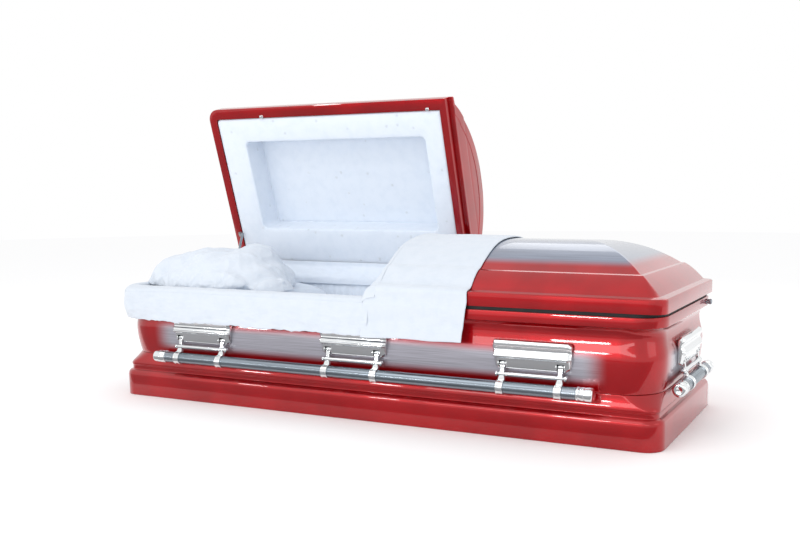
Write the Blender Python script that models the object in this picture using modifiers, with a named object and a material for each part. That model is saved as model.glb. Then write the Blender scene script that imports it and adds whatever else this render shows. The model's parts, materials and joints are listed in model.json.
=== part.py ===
"""A half-couch metal casket: sheet-metal box on a stepped base moulding, two hipped lids, swing handles on
four sides, and plain solids for the lining and the cloth. Metres, +Z up, +X towards the foot end, -Y towards
the front. The origin is the centre of the underside."""

from math import atan2, cos, hypot, pi, radians, sin

import bmesh
import bpy
from mathutils import Matrix, Vector

for leftover in list(bpy.data.objects):
    bpy.data.objects.remove(leftover)

# Box
LENGTH = 2.13
WIDTH = 0.735
SHEET = 0.0012
GAP = 0.0003
CORNER_STEPS = 5

# Base moulding, from the floor up
BASE_CORNER = 0.060
BASE_FACE = 0.0775
BASE_RETURN = 0.035
BASE_EDGE = 0.002
STEP_INSET = 0.0175
STEP_CHAMFER = 0.020
STEP_RISER = 0.015
BEAD_RISE = 0.012
BEAD_INSET = 0.0150
COVE_RISE = 0.040

# Bottom pan
PAN_LAP = 0.020
PAN_DISH = 0.006

# Body shell
BODY_CORNER = 0.120
WAIST_INSET = 0.0205
WAIST_RETURN = 0.012
BELLY_INSET = 0.0105
BELLY_RISE = 0.097
COVE_INSET = 0.0213
NECK_RISE = 0.082
FLANGE_SPREAD = 0.027
FLANGE_INSET = 0.001
FLANGE_HEIGHT = 0.0325
FLANGE_CORNER = 0.090
LEDGE_SIDE = 0.042
LEDGE_END = 0.034
LEDGE_LIP = 0.015
LEDGE_CORNER = 0.025

# Gasket between the ledge and the lid rims
GASKET_INSET = 0.007
GASKET_WIDTH = 0.012
LID_GAP = 0.0113

# Lids
LID_OVERHANG = 0.0048
LID_SET_IN = 0.0025
LID_CORNER = 0.050
SKIRT = 0.0445
SKIRT_ROUND = 0.004
SHOULDER_INSET = 0.029
SHOULDER_RISE = 0.0475
CREASE_INSET = 0.101
CREASE_RISE = 0.1075
SLOPE_BULGE = 0.007
CROWN_RISE = 0.196
CROWN_POWER = 2.3
SPLIT_X = 0.0915
SPLIT_GAP = 0.003
RABBET_DEPTH = 0.016
RABBET_RISE = 0.033
RABBET_PLAY = 0.0015
LIP_BACK_END = 0.245
CUT_FLANGE = 0.028
HEAD_LID_OPEN = radians(74.6)

# Hinges along the back
HINGE_OUT = 0.006
HINGE_DROP = 0.004
KNUCKLE = 0.0034
LEAF_THICKNESS = 0.0012
LEAF_HEIGHT = 0.022
LEAF_RUN = 0.46
PIVOT_SIDES = 8

# Stay, latch studs and lock port cap
STAY_SIZE = (0.003, 0.012)
STAY_LENGTH = 0.200
STAY_REACH = 0.183
STAY_TILT = radians(20)
STAY_EYE = 0.009
STAY_PIN = 0.0018
BRACKET_HEIGHT = 0.0098
BRACKET_LENGTH = 0.020
STUD_RADIUS = 0.0065
STUD_HEIGHT = 0.009
STUD_INSET = 0.0365
STUD_PLACES = (-0.79, -0.003)
PORT_RADIUS = 0.0105
PORT_LENGTH = 0.019
PORT_FROM_SIDE = 0.1175
PORT_DROP = 0.016

# Handles. Outward sizes are measured from the box at its belly, heights from the floor.
PIVOT_Z = 0.239
PIVOT_OUT = 0.010
EAR_WIDTH = 0.264
EAR_TOP = 0.316
EAR_BOTTOM = 0.223
EAR_DEPTH = 0.024
EAR_LIP_DEPTH = 0.016
EAR_TAPER = 0.009
ARM_SPACING = 0.194
ARM_WIDTH = 0.018
ARM_THICKNESS = 0.011
BOSS_RADIUS = 0.0090
BOSS_WIDTH = 0.022
NOTCH_PLAY = 0.0015
RUNNING_GAP = 0.0006
BAR_RADIUS = 0.0200
BAR_DROP = 0.074
BAR_STAND_OUT = 0.0175
COLLAR_WALL = 0.0042
COLLAR_WIDTH = 0.024
CROSS_ROD_RADIUS = 0.0070
CROSS_ROD_DROP = 0.034
CROSS_ROD_END = 0.024
TIP_RADIUS = 0.0230
TIP_LENGTH = 0.054
LONG_BAR_FROM_END = 0.201
SHORT_BAR_FROM_SIDE = 0.1475
EAR_FROM_END = 0.410
ROUND_SIDES = 12

# Soft pieces
MATTRESS_TOP = 0.262
MATTRESS_INSET = 0.065
MATTRESS_SIDE = 0.064
LINING_GAP = 0.0015
LINING_THICKNESS_SIDE = 0.036
LINING_THICKNESS_END = 0.0095
CLOTH = 0.008
CLOTH_GAP = 0.0022
FRONT_BAND = 0.100
END_BAND = 0.126
CUT_BAND = 0.083
BACK_BAND = 0.158
RECESS_DEPTH = 0.112
LID_LINING_GAP = 0.004
HEM_Z = 0.296
HEM_FLARE = 0.0245
OVERLAY_END_Y = 0.14
PILLOW_RUN = (0.075, 0.500)
PILLOW_HALF = 0.245
HEAP_RUN = (-0.030, 0.635)
HEAP_RISE = 0.142
HEAP_FRONT = 0.290
HEAP_BACK = 0.200
FALL_RUN = 0.190
FALL_HALF = 0.285
THROW_RUN = 0.372
THROW_BEHIND = 0.110

# Heights and faces that follow from the sizes above
BEAD_Z = BASE_FACE + STEP_CHAMFER + STEP_RISER + BEAD_RISE
MOULDING_TOP = BEAD_Z + COVE_RISE
SHELL_Z = MOULDING_TOP + GAP
BELLY_Z = SHELL_Z + BELLY_RISE
NECK_Z = BELLY_Z + NECK_RISE
FLANGE_Z = NECK_Z + FLANGE_SPREAD
LEDGE_Z = FLANGE_Z + FLANGE_HEIGHT
RIM_Z = LEDGE_Z + LID_GAP
LID_HALF_X = LENGTH / 2 + LID_OVERHANG
LID_HALF_Y = WIDTH / 2 - LID_SET_IN
HINGE_Y = LID_HALF_Y + HINGE_OUT
HINGE_Z = RIM_Z - HINGE_DROP
GASKET_TOP = RIM_Z - GAP
SIDE_FACE = WIDTH / 2 - BELLY_INSET
END_FACE = LENGTH / 2 - BELLY_INSET
FOOT_CUT_X = SPLIT_X + SPLIT_GAP
LONG_BAR = LENGTH - 2 * LONG_BAR_FROM_END
SHORT_BAR = WIDTH - 2 * SHORT_BAR_FROM_SIDE
EAR_SPACING = LENGTH / 2 - EAR_FROM_END
PILLOW_TOP = RIM_Z - CLOTH_GAP
LEDGE_INNER_X = LEDGE_END + SHEET + 2 * CLOTH_GAP + CLOTH - LENGTH / 2
STAY_X = -(LENGTH / 2 - LEDGE_END - SHEET - STAY_SIZE[0] / 2 - 2 * LINING_GAP)

COLOURS = {
    "red_metal": ((0.45, 0.012, 0.014), 0.18, 0.6),
    "chrome": ((0.80, 0.81, 0.82), 0.08, 1.0),
    "dark_metal": ((0.20, 0.22, 0.25), 0.3, 1.0),
    "steel": ((0.55, 0.56, 0.58), 0.35, 1.0),
    "rubber": ((0.015, 0.015, 0.015), 0.7, 0.0),
    "cloth": ((0.86, 0.89, 0.92), 0.85, 0.0),
}

parts = bpy.data.collections.new("funeral_casket")
cutters = bpy.data.collections.new("cutters")
for collection in (parts, cutters):
    bpy.context.scene.collection.children.link(collection)


def paint(obj, finish):
    """Gives the object its own Principled material in one of the finishes."""
    colour, roughness, metallic = COLOURS[finish]
    material = bpy.data.materials.new(obj.name)
    material.use_nodes = True
    shader = material.node_tree.nodes["Principled BSDF"]
    shader.inputs["Base Color"].default_value = (*colour, 1)
    shader.inputs["Roughness"].default_value = roughness
    shader.inputs["Metallic"].default_value = metallic
    obj.data.materials.clear()
    obj.data.materials.append(material)


def new_piece(name, mesh, finish):
    piece = bpy.data.objects.new(name, mesh)
    parts.objects.link(piece)
    paint(piece, finish)
    return piece


def mesh_from(bm, name):
    mesh = bpy.data.meshes.new(name)
    bm.to_mesh(mesh)
    bm.free()
    return mesh


def loft(rings, cap_first=False, cap_last=False, closed=True, back_to_first=False):
    """A skin over rings that all have the same number of points, with its faces turned outwards."""
    bm = bmesh.new()
    rows = [[bm.verts.new(point) for point in ring] for ring in rings]
    if back_to_first:
        rows.append(rows[0])
    count = len(rows[0])
    for below, above in zip(rows, rows[1:]):
        for i in range(count if closed else count - 1):
            j = (i + 1) % count
            bm.faces.new((below[i], below[j], above[j], above[i]))
    if cap_first:
        bm.faces.new(rows[0])
    if cap_last:
        bm.faces.new(rows[-1])
    bmesh.ops.remove_doubles(bm, verts=bm.verts, dist=0.00005)
    bmesh.ops.recalc_face_normals(bm, faces=bm.faces)
    return bm


def turn_outwards(bm, centre):
    """Turns an open skin's faces away from a point inside it."""
    outward = sum((f.calc_center_median() - Vector(centre)).dot(f.normal) * f.calc_area() for f in bm.faces)
    if outward < 0:
        bmesh.ops.reverse_faces(bm, faces=bm.faces)


def thicken(piece, thickness, offset=-1.0):
    """Solidify an open skin, inwards unless told otherwise."""
    wall = piece.modifiers.new("wall", "SOLIDIFY")
    wall.thickness = thickness
    wall.offset = offset
    wall.use_even_offset = True
    wall.use_rim = True
    return piece


def soften(piece, width, segments=2):
    edge = piece.modifiers.new("rounded_edges", "BEVEL")
    edge.width = width
    edge.segments = segments
    edge.limit_method = "ANGLE"
    return piece


def rounded_ring(half_x, half_y, radius, z):
    """A rounded rectangle, counter-clockwise seen from above."""
    points = []
    for quarter in range(4):
        side_x = 1 if quarter in (0, 3) else -1
        side_y = 1 if quarter in (0, 1) else -1
        for step in range(CORNER_STEPS + 1):
            angle = (quarter + step / CORNER_STEPS) * pi / 2
            points.append(
                (
                    side_x * (half_x - radius) + radius * cos(angle),
                    side_y * (half_y - radius) + radius * sin(angle),
                    z,
                )
            )
    return points


def body_ring(inset, radius, z, end_inset=None):
    """A level of the box, set in from the base moulding's face."""
    inset_x = inset if end_inset is None else end_inset
    return rounded_ring(LENGTH / 2 - inset_x, WIDTH / 2 - inset, radius, z)


def skin_piece(name, rings, finish, thickness, centre, offset=-1.0, **caps):
    bm = loft(rings, **caps)
    turn_outwards(bm, centre)
    return thicken(new_piece(name, mesh_from(bm, name), finish), thickness, offset)


def base_moulding():
    riser_z = BASE_FACE + STEP_CHAMFER
    cove_start_radius = BASE_CORNER - BEAD_INSET
    rings = [
        body_ring(BASE_RETURN, BASE_CORNER - BASE_EDGE, 0),
        body_ring(BASE_EDGE, BASE_CORNER - BASE_EDGE, 0),
        body_ring(0, BASE_CORNER, BASE_EDGE),
        body_ring(0, BASE_CORNER, BASE_FACE),
        body_ring(STEP_INSET / 3, BASE_CORNER - STEP_INSET / 3, BASE_FACE + STEP_CHAMFER / 3),
        body_ring(STEP_INSET, BASE_CORNER - STEP_INSET, riser_z),
        body_ring(STEP_INSET, BASE_CORNER - STEP_INSET, riser_z + STEP_RISER),
        body_ring(BEAD_INSET, cove_start_radius, riser_z + STEP_RISER + BEAD_RISE / 3),
        body_ring(BEAD_INSET, cove_start_radius, BEAD_Z - BEAD_RISE / 3),
    ]
    for share in (0.25, 0.5, 0.75, 1.0):
        inset = BEAD_INSET + (WAIST_INSET - BEAD_INSET) * sin(share * pi / 2)
        radius = cove_start_radius + (BODY_CORNER - cove_start_radius) * share
        rings.append(body_ring(inset, radius, BEAD_Z + COVE_RISE * share))
    turned_in = WAIST_INSET + WAIST_RETURN
    rings.append(body_ring(turned_in, BODY_CORNER - WAIST_RETURN, MOULDING_TOP))
    skin_piece("base_moulding", rings, "red_metal", SHEET, (0, 0, MOULDING_TOP / 2))


def bottom_pan():
    lap_z = SHEET + GAP
    outer = BASE_RETURN - PAN_LAP
    dish = BASE_RETURN + PAN_DISH
    radius = BASE_CORNER - BASE_EDGE
    rings = [
        body_ring(outer, radius, lap_z),
        body_ring(BASE_RETURN + GAP, radius, lap_z),
        body_ring(dish, radius, 0),
    ]
    skin_piece("bottom_pan", rings, "red_metal", SHEET, (0, 0, LENGTH), cap_last=True)


def body_shell():
    rings = [
        body_ring(WAIST_INSET + WAIST_RETURN, BODY_CORNER - WAIST_RETURN, SHELL_Z),
        body_ring(WAIST_INSET, BODY_CORNER, SHELL_Z),
    ]
    for share in (0.25, 0.5, 0.75, 1.0):
        inset = WAIST_INSET + (BELLY_INSET - WAIST_INSET) * sin(share * pi / 2)
        rings.append(body_ring(inset, BODY_CORNER, SHELL_Z + BELLY_RISE * share))
    for share in (0.25, 0.5, 0.75, 1.0):
        inset = BELLY_INSET + (COVE_INSET - BELLY_INSET) * (1 - cos(share * pi)) / 2
        rings.append(body_ring(inset, BODY_CORNER, BELLY_Z + NECK_RISE * share))
    for share in (0.5, 1.0):
        inset = COVE_INSET + (FLANGE_INSET - COVE_INSET) * (1 - cos(share * pi / 2))
        radius = BODY_CORNER + (FLANGE_CORNER - BODY_CORNER) * share
        rings.append(body_ring(inset, radius, NECK_Z + FLANGE_SPREAD * share))
    rings += [
        body_ring(FLANGE_INSET, FLANGE_CORNER, LEDGE_Z - BASE_EDGE),
        body_ring(FLANGE_INSET + BASE_EDGE, FLANGE_CORNER - BASE_EDGE, LEDGE_Z),
        body_ring(LEDGE_SIDE, LEDGE_CORNER, LEDGE_Z, LEDGE_END),
        body_ring(LEDGE_SIDE, LEDGE_CORNER, LEDGE_Z - LEDGE_LIP, LEDGE_END),
    ]
    skin_piece("body_shell", rings, "red_metal", SHEET, (0, 0, BELLY_Z))


def closed_band(name, finish, inner, outer, low, high, outer_radius, inner_radius):
    """A band round the box. inner and outer are (side inset, end inset)."""
    rings = [
        body_ring(outer[0], outer_radius, low, outer[1]),
        body_ring(outer[0], outer_radius, high, outer[1]),
        body_ring(inner[0], inner_radius, high, inner[1]),
        body_ring(inner[0], inner_radius, low, inner[1]),
    ]
    return new_piece(name, mesh_from(loft(rings, back_to_first=True), name), finish)


def lid_gasket():
    outer = (GASKET_INSET, GASKET_INSET)
    inner = (GASKET_INSET + GASKET_WIDTH, GASKET_INSET + GASKET_WIDTH)
    closed_band("lid_gasket", "rubber", inner, outer, LEDGE_Z + GAP, GASKET_TOP,
                FLANGE_CORNER - GASKET_INSET, FLANGE_CORNER - GASKET_INSET - GASKET_WIDTH)


def lid_profile():
    """Levels of a lid above its skirt's foot, as (inset from the rim, height above the rim plane)."""
    levels = [
        (0.0, SKIRT - SKIRT_ROUND),
        (SKIRT_ROUND, SKIRT),
        (SHOULDER_INSET, SHOULDER_RISE),
    ]
    for share in (1 / 3, 2 / 3, 1.0):
        inset = SHOULDER_INSET + (CREASE_INSET - SHOULDER_INSET) * share
        rise = SHOULDER_RISE + (CREASE_RISE - SHOULDER_RISE) * share + SLOPE_BULGE * sin(pi * share)
        levels.append((inset, rise))
    for share in (0.84, 0.67, 0.5, 0.3, 0.0):
        reach = (LID_HALF_Y - CREASE_INSET) * share
        rise = CROWN_RISE - (CROWN_RISE - CREASE_RISE) * share**CROWN_POWER
        levels.append((LID_HALF_Y - reach, rise))
    return levels


def lid_ring(side, inset_side, inset_end, cut_x, radius, z):
    """A level of a lid: square at its cut, round at its outer end. side is -1 for the head, 1 for the foot."""
    half_y = LID_HALF_Y - inset_side
    end_x = LID_HALF_X - inset_end
    radius = min(radius, half_y)
    points = [(cut_x, -half_y, z)]
    for quarter in (-1, 0):
        for step in range(CORNER_STEPS + 1):
            angle = (quarter + step / CORNER_STEPS) * pi / 2
            centre_y = (half_y - radius) * (1 if quarter == 0 else -1)
            points.append((side * (end_x - radius + radius * cos(angle)), centre_y + radius * sin(angle), z))
    points.append((cut_x, half_y, z))
    return points


def lid(name, side, cut_x, low_cut_x, step_rise):
    """A sheet lid with its rim turned in. low_cut_x is where the cut end stands below step_rise."""
    flange_cut_x = low_cut_x + side * CUT_FLANGE
    rings = [
        lid_ring(side, LEDGE_SIDE, LEDGE_END, flange_cut_x, LID_CORNER - LEDGE_END, RIM_Z),
        lid_ring(side, 0, 0, low_cut_x, LID_CORNER, RIM_Z),
        lid_ring(side, 0, 0, low_cut_x, LID_CORNER, RIM_Z + step_rise),
        lid_ring(side, 0, 0, cut_x, LID_CORNER, RIM_Z + step_rise),
    ]
    for inset, rise in lid_profile():
        radius = max(LID_CORNER - inset * 0.6, 0.004)
        rings.append(lid_ring(side, inset, inset, cut_x, radius, RIM_Z + rise))
    centre = (side * LID_HALF_X / 2, 0, RIM_Z + CREASE_RISE / 2)
    return skin_piece(name, rings, "red_metal", SHEET, centre)


def foot_lid_lip():
    """The channel on the foot lid's cut end that the head lid's rabbet closes over."""
    outer_x = FOOT_CUT_X - GAP
    inner_x = FOOT_CUT_X - RABBET_DEPTH
    top_z = RIM_Z + RABBET_RISE - RABBET_PLAY
    outline = [(outer_x, top_z), (inner_x, top_z), (inner_x, RIM_Z), (outer_x, RIM_Z)]
    rows = [[(x, -LID_HALF_Y + SHEET, z), (x, LIP_BACK_END, z)] for x, z in outline]
    bm = loft(rows, closed=False)
    turn_outwards(bm, (outer_x, 0, (top_z + RIM_Z) / 2))
    return thicken(new_piece("foot_lid_lip", mesh_from(bm, "foot_lid_lip"), "red_metal"), SHEET)


def lid_lining(name, side, low_cut_x):
    """A cloth tray in a lid: a frame level with the rim and a recess inside it."""
    edge_cut_x = low_cut_x + side * (CUT_FLANGE + LINING_GAP)
    edge_side = LEDGE_SIDE + LINING_GAP
    edge_end = LEDGE_END + LINING_GAP
    radius = LID_CORNER - LEDGE_END
    frame_z = RIM_Z + LID_LINING_GAP
    front_y = LID_HALF_Y - edge_side - FRONT_BAND
    back_y = LID_HALF_Y - edge_side - BACK_BAND
    recess_end = LID_HALF_X - edge_end - END_BAND
    recess_cut_x = edge_cut_x + side * CUT_BAND

    def recess(z):
        """The recess isn't centred: its back band is wider than its front band."""
        ring = lid_ring(side, 0, 0, recess_cut_x, radius, z)
        scale_y = (front_y + back_y) / (2 * LID_HALF_Y)
        middle_y = (back_y - front_y) / 2
        start_x, end_x = recess_cut_x, side * LID_HALF_X
        stretch = (side * recess_end - start_x) / (end_x - start_x)
        return [(start_x + (x - start_x) * stretch, middle_y + y * scale_y, height) for x, y, height in ring]

    rings = [
        lid_ring(side, edge_side, edge_end, edge_cut_x, radius, frame_z),
        recess(frame_z),
        recess(frame_z + RECESS_DEPTH),
    ]
    bm = loft(rings, cap_last=True)
    middle = (side * LID_HALF_X / 2, 0, RIM_Z + CROWN_RISE)
    turn_outwards(bm, middle)
    return thicken(new_piece(name, mesh_from(bm, name), "cloth"), CLOTH)


def block_into(bm, low, high):
    made = bmesh.ops.create_cube(bm, size=1.0)["verts"]
    size = Vector(high) - Vector(low)
    bmesh.ops.scale(bm, verts=made, vec=size)
    bmesh.ops.translate(bm, verts=made, vec=(Vector(low) + Vector(high)) / 2)


def block(name, finish, low, high):
    bm = bmesh.new()
    block_into(bm, low, high)
    return new_piece(name, mesh_from(bm, name), finish)


def rod_mesh(name, radius, length, sides, centre=(0, 0, 0), turn=0.0):
    """A round rod along X with its middle at centre."""
    bm = bmesh.new()
    bmesh.ops.create_cone(bm, cap_ends=True, segments=sides, radius1=radius, radius2=radius, depth=length)
    bmesh.ops.rotate(bm, verts=bm.verts, cent=(0, 0, 0), matrix=Matrix.Rotation(turn, 3, "Z"))
    bmesh.ops.rotate(bm, verts=bm.verts, cent=(0, 0, 0), matrix=Matrix.Rotation(pi / 2, 3, "Y"))
    bmesh.ops.translate(bm, verts=bm.verts, vec=centre)
    return mesh_from(bm, name)


def combined(name, shapes):
    """One mesh from a first shape and ("UNION" or "DIFFERENCE", mesh) steps."""
    base = bpy.data.objects.new(name, shapes[0])
    cutters.objects.link(base)
    helpers = [base]
    for operation, mesh in shapes[1:]:
        helper = bpy.data.objects.new(name + "_tool", mesh)
        cutters.objects.link(helper)
        helper.hide_render = True
        helper.display_type = "WIRE"
        helpers.append(helper)
        step = base.modifiers.new(operation.lower(), "BOOLEAN")
        step.operation = operation
        step.object = helper
        step.solver = "EXACT"
    graph = bpy.context.evaluated_depsgraph_get()
    mesh = bpy.data.meshes.new_from_object(base.evaluated_get(graph))
    for helper in helpers:
        bpy.data.objects.remove(helper)
    return mesh


def ear_mesh():
    """A bracket seen from its pivot: X along the box, -Y outwards, with a notch for each boss of the bail. Its
    back lies just off the box."""
    back = PIVOT_OUT - GAP
    top, bottom = EAR_TOP - PIVOT_Z, EAR_BOTTOM - PIVOT_Z
    height = top - bottom
    front = PIVOT_OUT - EAR_DEPTH
    lip = PIVOT_OUT - EAR_LIP_DEPTH
    groove = front + 0.003
    outline = [
        (back, top - 0.012),
        (back - 0.009, top),
        (front + 0.003, top - 0.005),
        (front, top - 0.015),
        (groove, top - 0.021),
        (groove, top - 0.027),
        (front, top - 0.033),
        (front - 0.0015, top - 0.050),
        (lip, bottom + 0.004),
        (lip + 0.004, bottom),
        (back, bottom),
    ]
    middle_y, middle_z = (back + lip) / 2, bottom + height / 2
    rings = []
    for x, share in ((-1, 0.72), (-1 + 2 * EAR_TAPER / EAR_WIDTH, 1), (1 - 2 * EAR_TAPER / EAR_WIDTH, 1), (1, 0.72)):
        rings.append([
            (
                x * EAR_WIDTH / 2,
                back + (y - back) * share,
                middle_z + (z - middle_z) * (1 - (1 - share) / 3),
            )
            for y, z in outline
        ])
    plate = mesh_from(loft(rings, cap_first=True, cap_last=True), "ear_plate")
    steps = [plate]
    half_notch = BOSS_WIDTH / 2 + RUNNING_GAP
    for arm in (-1, 1):
        centre = arm * ARM_SPACING / 2
        bm = bmesh.new()
        block_into(
            bm,
            (centre - half_notch, front - EAR_DEPTH, bottom - NOTCH_PLAY),
            (centre + half_notch, back + NOTCH_PLAY, BOSS_RADIUS + NOTCH_PLAY),
        )
        steps.append(("DIFFERENCE", mesh_from(bm, "notch")))
    return combined("ear", steps)


def bail_mesh():
    """Two arms with their bosses, collars and cross rod, seen from the pivot: -Z hangs, -Y is outwards."""
    collar = BAR_RADIUS + GAP + COLLAR_WALL
    cross = ARM_SPACING + 2 * CROSS_ROD_END
    lean = Matrix.Rotation(-atan2(BAR_STAND_OUT, BAR_DROP), 4, "X")
    rod_middle = lean @ Vector((0, 0, -CROSS_ROD_DROP))
    steps = [rod_mesh("cross_rod", CROSS_ROD_RADIUS, cross, PIVOT_SIDES, rod_middle, pi / 8)]
    for arm in (-1, 1):
        x = arm * ARM_SPACING / 2
        bm = bmesh.new()
        block_into(
            bm,
            (x - ARM_WIDTH / 2, -ARM_THICKNESS / 2, BAR_RADIUS - hypot(BAR_STAND_OUT, BAR_DROP)),
            (x + ARM_WIDTH / 2, ARM_THICKNESS / 2, 0),
        )
        bm.transform(lean)
        steps.append(("UNION", mesh_from(bm, "arm")))
        boss = rod_mesh("boss", BOSS_RADIUS, BOSS_WIDTH, PIVOT_SIDES, (x, 0, 0), pi / 8)
        steps.append(("UNION", boss))
        ring_place = (x, -BAR_STAND_OUT, -BAR_DROP)
        ring = rod_mesh("collar", collar, COLLAR_WIDTH, ROUND_SIDES, ring_place, pi / ROUND_SIDES)
        steps.append(("UNION", ring))
    hole = (BAR_RADIUS + GAP) / cos(pi / ROUND_SIDES)
    bar_middle = (0, -BAR_STAND_OUT, -BAR_DROP)
    bore = rod_mesh("bore", hole, cross, ROUND_SIDES, bar_middle, pi / ROUND_SIDES)
    steps.append(("DIFFERENCE", bore))
    return combined("bail", steps)


def tip_mesh():
    """A turned tip along +X, its flat face at the origin."""
    r = TIP_RADIUS
    profile = [(0.0, TIP_LENGTH), (r * 0.75, TIP_LENGTH), (r, TIP_LENGTH - 0.006), (r, 0.004), (r - 0.003, 0.0),
               (0.0, 0.0)]
    mesh = bpy.data.meshes.new("tip_profile")
    mesh.from_pydata([(radius, 0, height) for radius, height in profile],
                     [(i, i + 1) for i in range(len(profile) - 1)], [])
    turned = bpy.data.objects.new("tip_profile", mesh)
    cutters.objects.link(turned)
    screw = turned.modifiers.new("turn", "SCREW")
    screw.angle = 2 * pi
    screw.steps = ROUND_SIDES
    screw.render_steps = ROUND_SIDES
    screw.use_merge_vertices = True
    screw.merge_threshold = 0.00005
    graph = bpy.context.evaluated_depsgraph_get()
    made = bpy.data.meshes.new_from_object(turned.evaluated_get(graph))
    bpy.data.objects.remove(turned)
    made.transform(Matrix.Rotation(pi / 2, 4, "Y"))
    return made


def pivot_empty(name, place, turn_x=0.0, turn_z=0.0, parent=None):
    empty = bpy.data.objects.new(name, None)
    parts.objects.link(empty)
    empty.location = place
    empty.rotation_euler = (turn_x, 0, turn_z)
    empty.parent = parent
    return empty


def hang_from(empty, piece):
    """Parents a piece that was made in place to an empty, keeping the place it has when the empty is unturned."""
    piece.parent = empty
    piece.location = -Vector(empty.location)
    return piece


def handle_set(side, outward_turn, face, ear_places, bar_length, ear, bail, tip):
    """The ears, bails, bar and tips of one side of the box. face is the box's belly on that side."""
    out = face + PIVOT_OUT
    spin = Matrix.Rotation(outward_turn, 3, "Z")
    place = spin @ Vector((0, -out, PIVOT_Z))
    pivot = pivot_empty(side + "_handle_pivot", place, turn_z=outward_turn)
    for number, along in enumerate(ear_places, 1):
        label = f"_{number}" if len(ear_places) > 1 else ""
        bracket = new_piece(f"{side}_ear{label}", ear.copy(), "chrome")
        bracket.location = place + spin @ Vector((along, 0, 0))
        bracket.rotation_euler = (0, 0, outward_turn)
        arms = new_piece(f"{side}_bail{label}", bail.copy(), "chrome")
        arms.parent = pivot
        arms.location = (along, 0, 0)
    bar_place = (0, -BAR_STAND_OUT, -BAR_DROP)
    rod_length = bar_length - 2 * (TIP_LENGTH + GAP)
    bar = new_piece(side + "_bar", rod_mesh(side + "_bar", BAR_RADIUS, rod_length, ROUND_SIDES, bar_place,
                                            pi / ROUND_SIDES), "dark_metal")
    bar.parent = pivot
    for name, direction in (("tip_1", -1), ("tip_2", 1)):
        end = new_piece(f"{side}_{name}", tip.copy(), "chrome")
        end.parent = pivot
        end.location = (direction * (rod_length / 2 + GAP), -BAR_STAND_OUT, -BAR_DROP)
        end.rotation_euler = (0, 0, 0 if direction > 0 else pi)


def hinge_leaf(name, low_x, high_x, z_sign, knuckles, finish="steel"):
    """One leaf of a long hinge: a strip on the box (z_sign -1) or on the lid (1), with every other knuckle."""
    face_y = (LID_HALF_Y if z_sign > 0 else WIDTH / 2 - FLANGE_INSET) + GAP
    near = HINGE_Z + z_sign * (KNUCKLE + 0.001)
    strip = bmesh.new()
    edge_y = HINGE_Y - KNUCKLE * 0.2
    block_into(
        strip,
        (low_x, face_y, min(near, near + z_sign * LEAF_HEIGHT)),
        (high_x, face_y + LEAF_THICKNESS, max(near, near + z_sign * LEAF_HEIGHT)),
    )
    steps = [mesh_from(strip, "strip")]
    width = (high_x - low_x) / knuckles
    for k in range(knuckles):
        if k % 2 != (0 if z_sign > 0 else 1):
            continue
        start = low_x + k * width
        middle = (start + width / 2, HINGE_Y, HINGE_Z)
        steps.append(("UNION", rod_mesh("knuckle", KNUCKLE, width - RUNNING_GAP, PIVOT_SIDES, middle, pi / 8)))
        arm = bmesh.new()
        block_into(
            arm,
            (start + RUNNING_GAP / 2, face_y, min(HINGE_Z, near + z_sign * KNUCKLE)),
            (start + width - RUNNING_GAP / 2, edge_y, max(HINGE_Z, near + z_sign * KNUCKLE)),
        )
        steps.append(("UNION", mesh_from(arm, "knuckle_arm")))
    return new_piece(name, combined(name, steps), finish)


def lid_stay(lid_pivot):
    """A flat arm hung on the head lid's end rim, its foot inside the box."""
    pivot = pivot_empty("lid_stay_pivot", (STAY_X, -STAY_REACH, HINGE_DROP - STAY_EYE), parent=lid_pivot)
    pivot.rotation_euler = (HEAD_LID_OPEN - STAY_TILT, 0, 0)
    half = STAY_SIZE[1] / 2
    bm = bmesh.new()
    block_into(bm, (-STAY_SIZE[0] / 2, -half, -STAY_LENGTH), (STAY_SIZE[0] / 2, half, 0))
    arm = mesh_from(bm, "stay_arm")
    eye = rod_mesh("stay_eye", STAY_EYE - GAP, STAY_SIZE[0], ROUND_SIDES)
    roller = rod_mesh("stay_roller", STAY_EYE - GAP, STAY_SIZE[0], ROUND_SIDES, (0, 0, -STAY_LENGTH))
    stay = new_piece("lid_stay", combined("lid_stay", [arm, ("UNION", eye), ("UNION", roller)]), "steel")
    stay.parent = pivot
    bracket = bmesh.new()
    outer_x = GASKET_INSET + GASKET_WIDTH + LINING_GAP - LENGTH / 2
    top = RIM_Z - GAP
    eye_y = HINGE_Y - STAY_REACH
    block_into(
        bracket,
        (outer_x, eye_y - BRACKET_LENGTH / 2, top - BRACKET_HEIGHT),
        (LEDGE_END - LID_HALF_X, eye_y + BRACKET_LENGTH / 2, top),
    )
    pin_end = STAY_X - STAY_SIZE[0] / 2 - RUNNING_GAP
    middle = ((outer_x + pin_end) / 2, eye_y, RIM_Z - STAY_EYE)
    pin = rod_mesh("stay_pin", STAY_PIN, pin_end - outer_x, PIVOT_SIDES, middle)
    mesh = combined("lid_stay_bracket", [mesh_from(bracket, "bracket"), ("UNION", pin)])
    hang_from(lid_pivot, new_piece("lid_stay_bracket", mesh, "steel"))


def latch_studs(lid_pivot):
    for number, x in enumerate(STUD_PLACES, 1):
        stud = rod_mesh("stud", STUD_RADIUS, STUD_HEIGHT, ROUND_SIDES)
        stud.transform(Matrix.Rotation(pi / 2, 4, "Y"))
        top = RIM_Z - GAP
        stud.transform(Matrix.Translation((x, STUD_INSET - LID_HALF_Y, top - STUD_HEIGHT / 2)))
        hang_from(lid_pivot, new_piece(f"latch_stud_{number}", stud, "chrome"))


def port_cap():
    x = LENGTH / 2 - FLANGE_INSET + GAP + PORT_LENGTH / 2
    middle = (x, WIDTH / 2 - PORT_FROM_SIDE, LEDGE_Z - PORT_DROP)
    cap = rod_mesh("lock_port_cap", PORT_RADIUS, PORT_LENGTH, ROUND_SIDES, middle)
    soften(new_piece("lock_port_cap", cap, "dark_metal"), 0.002, 1)


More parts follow.
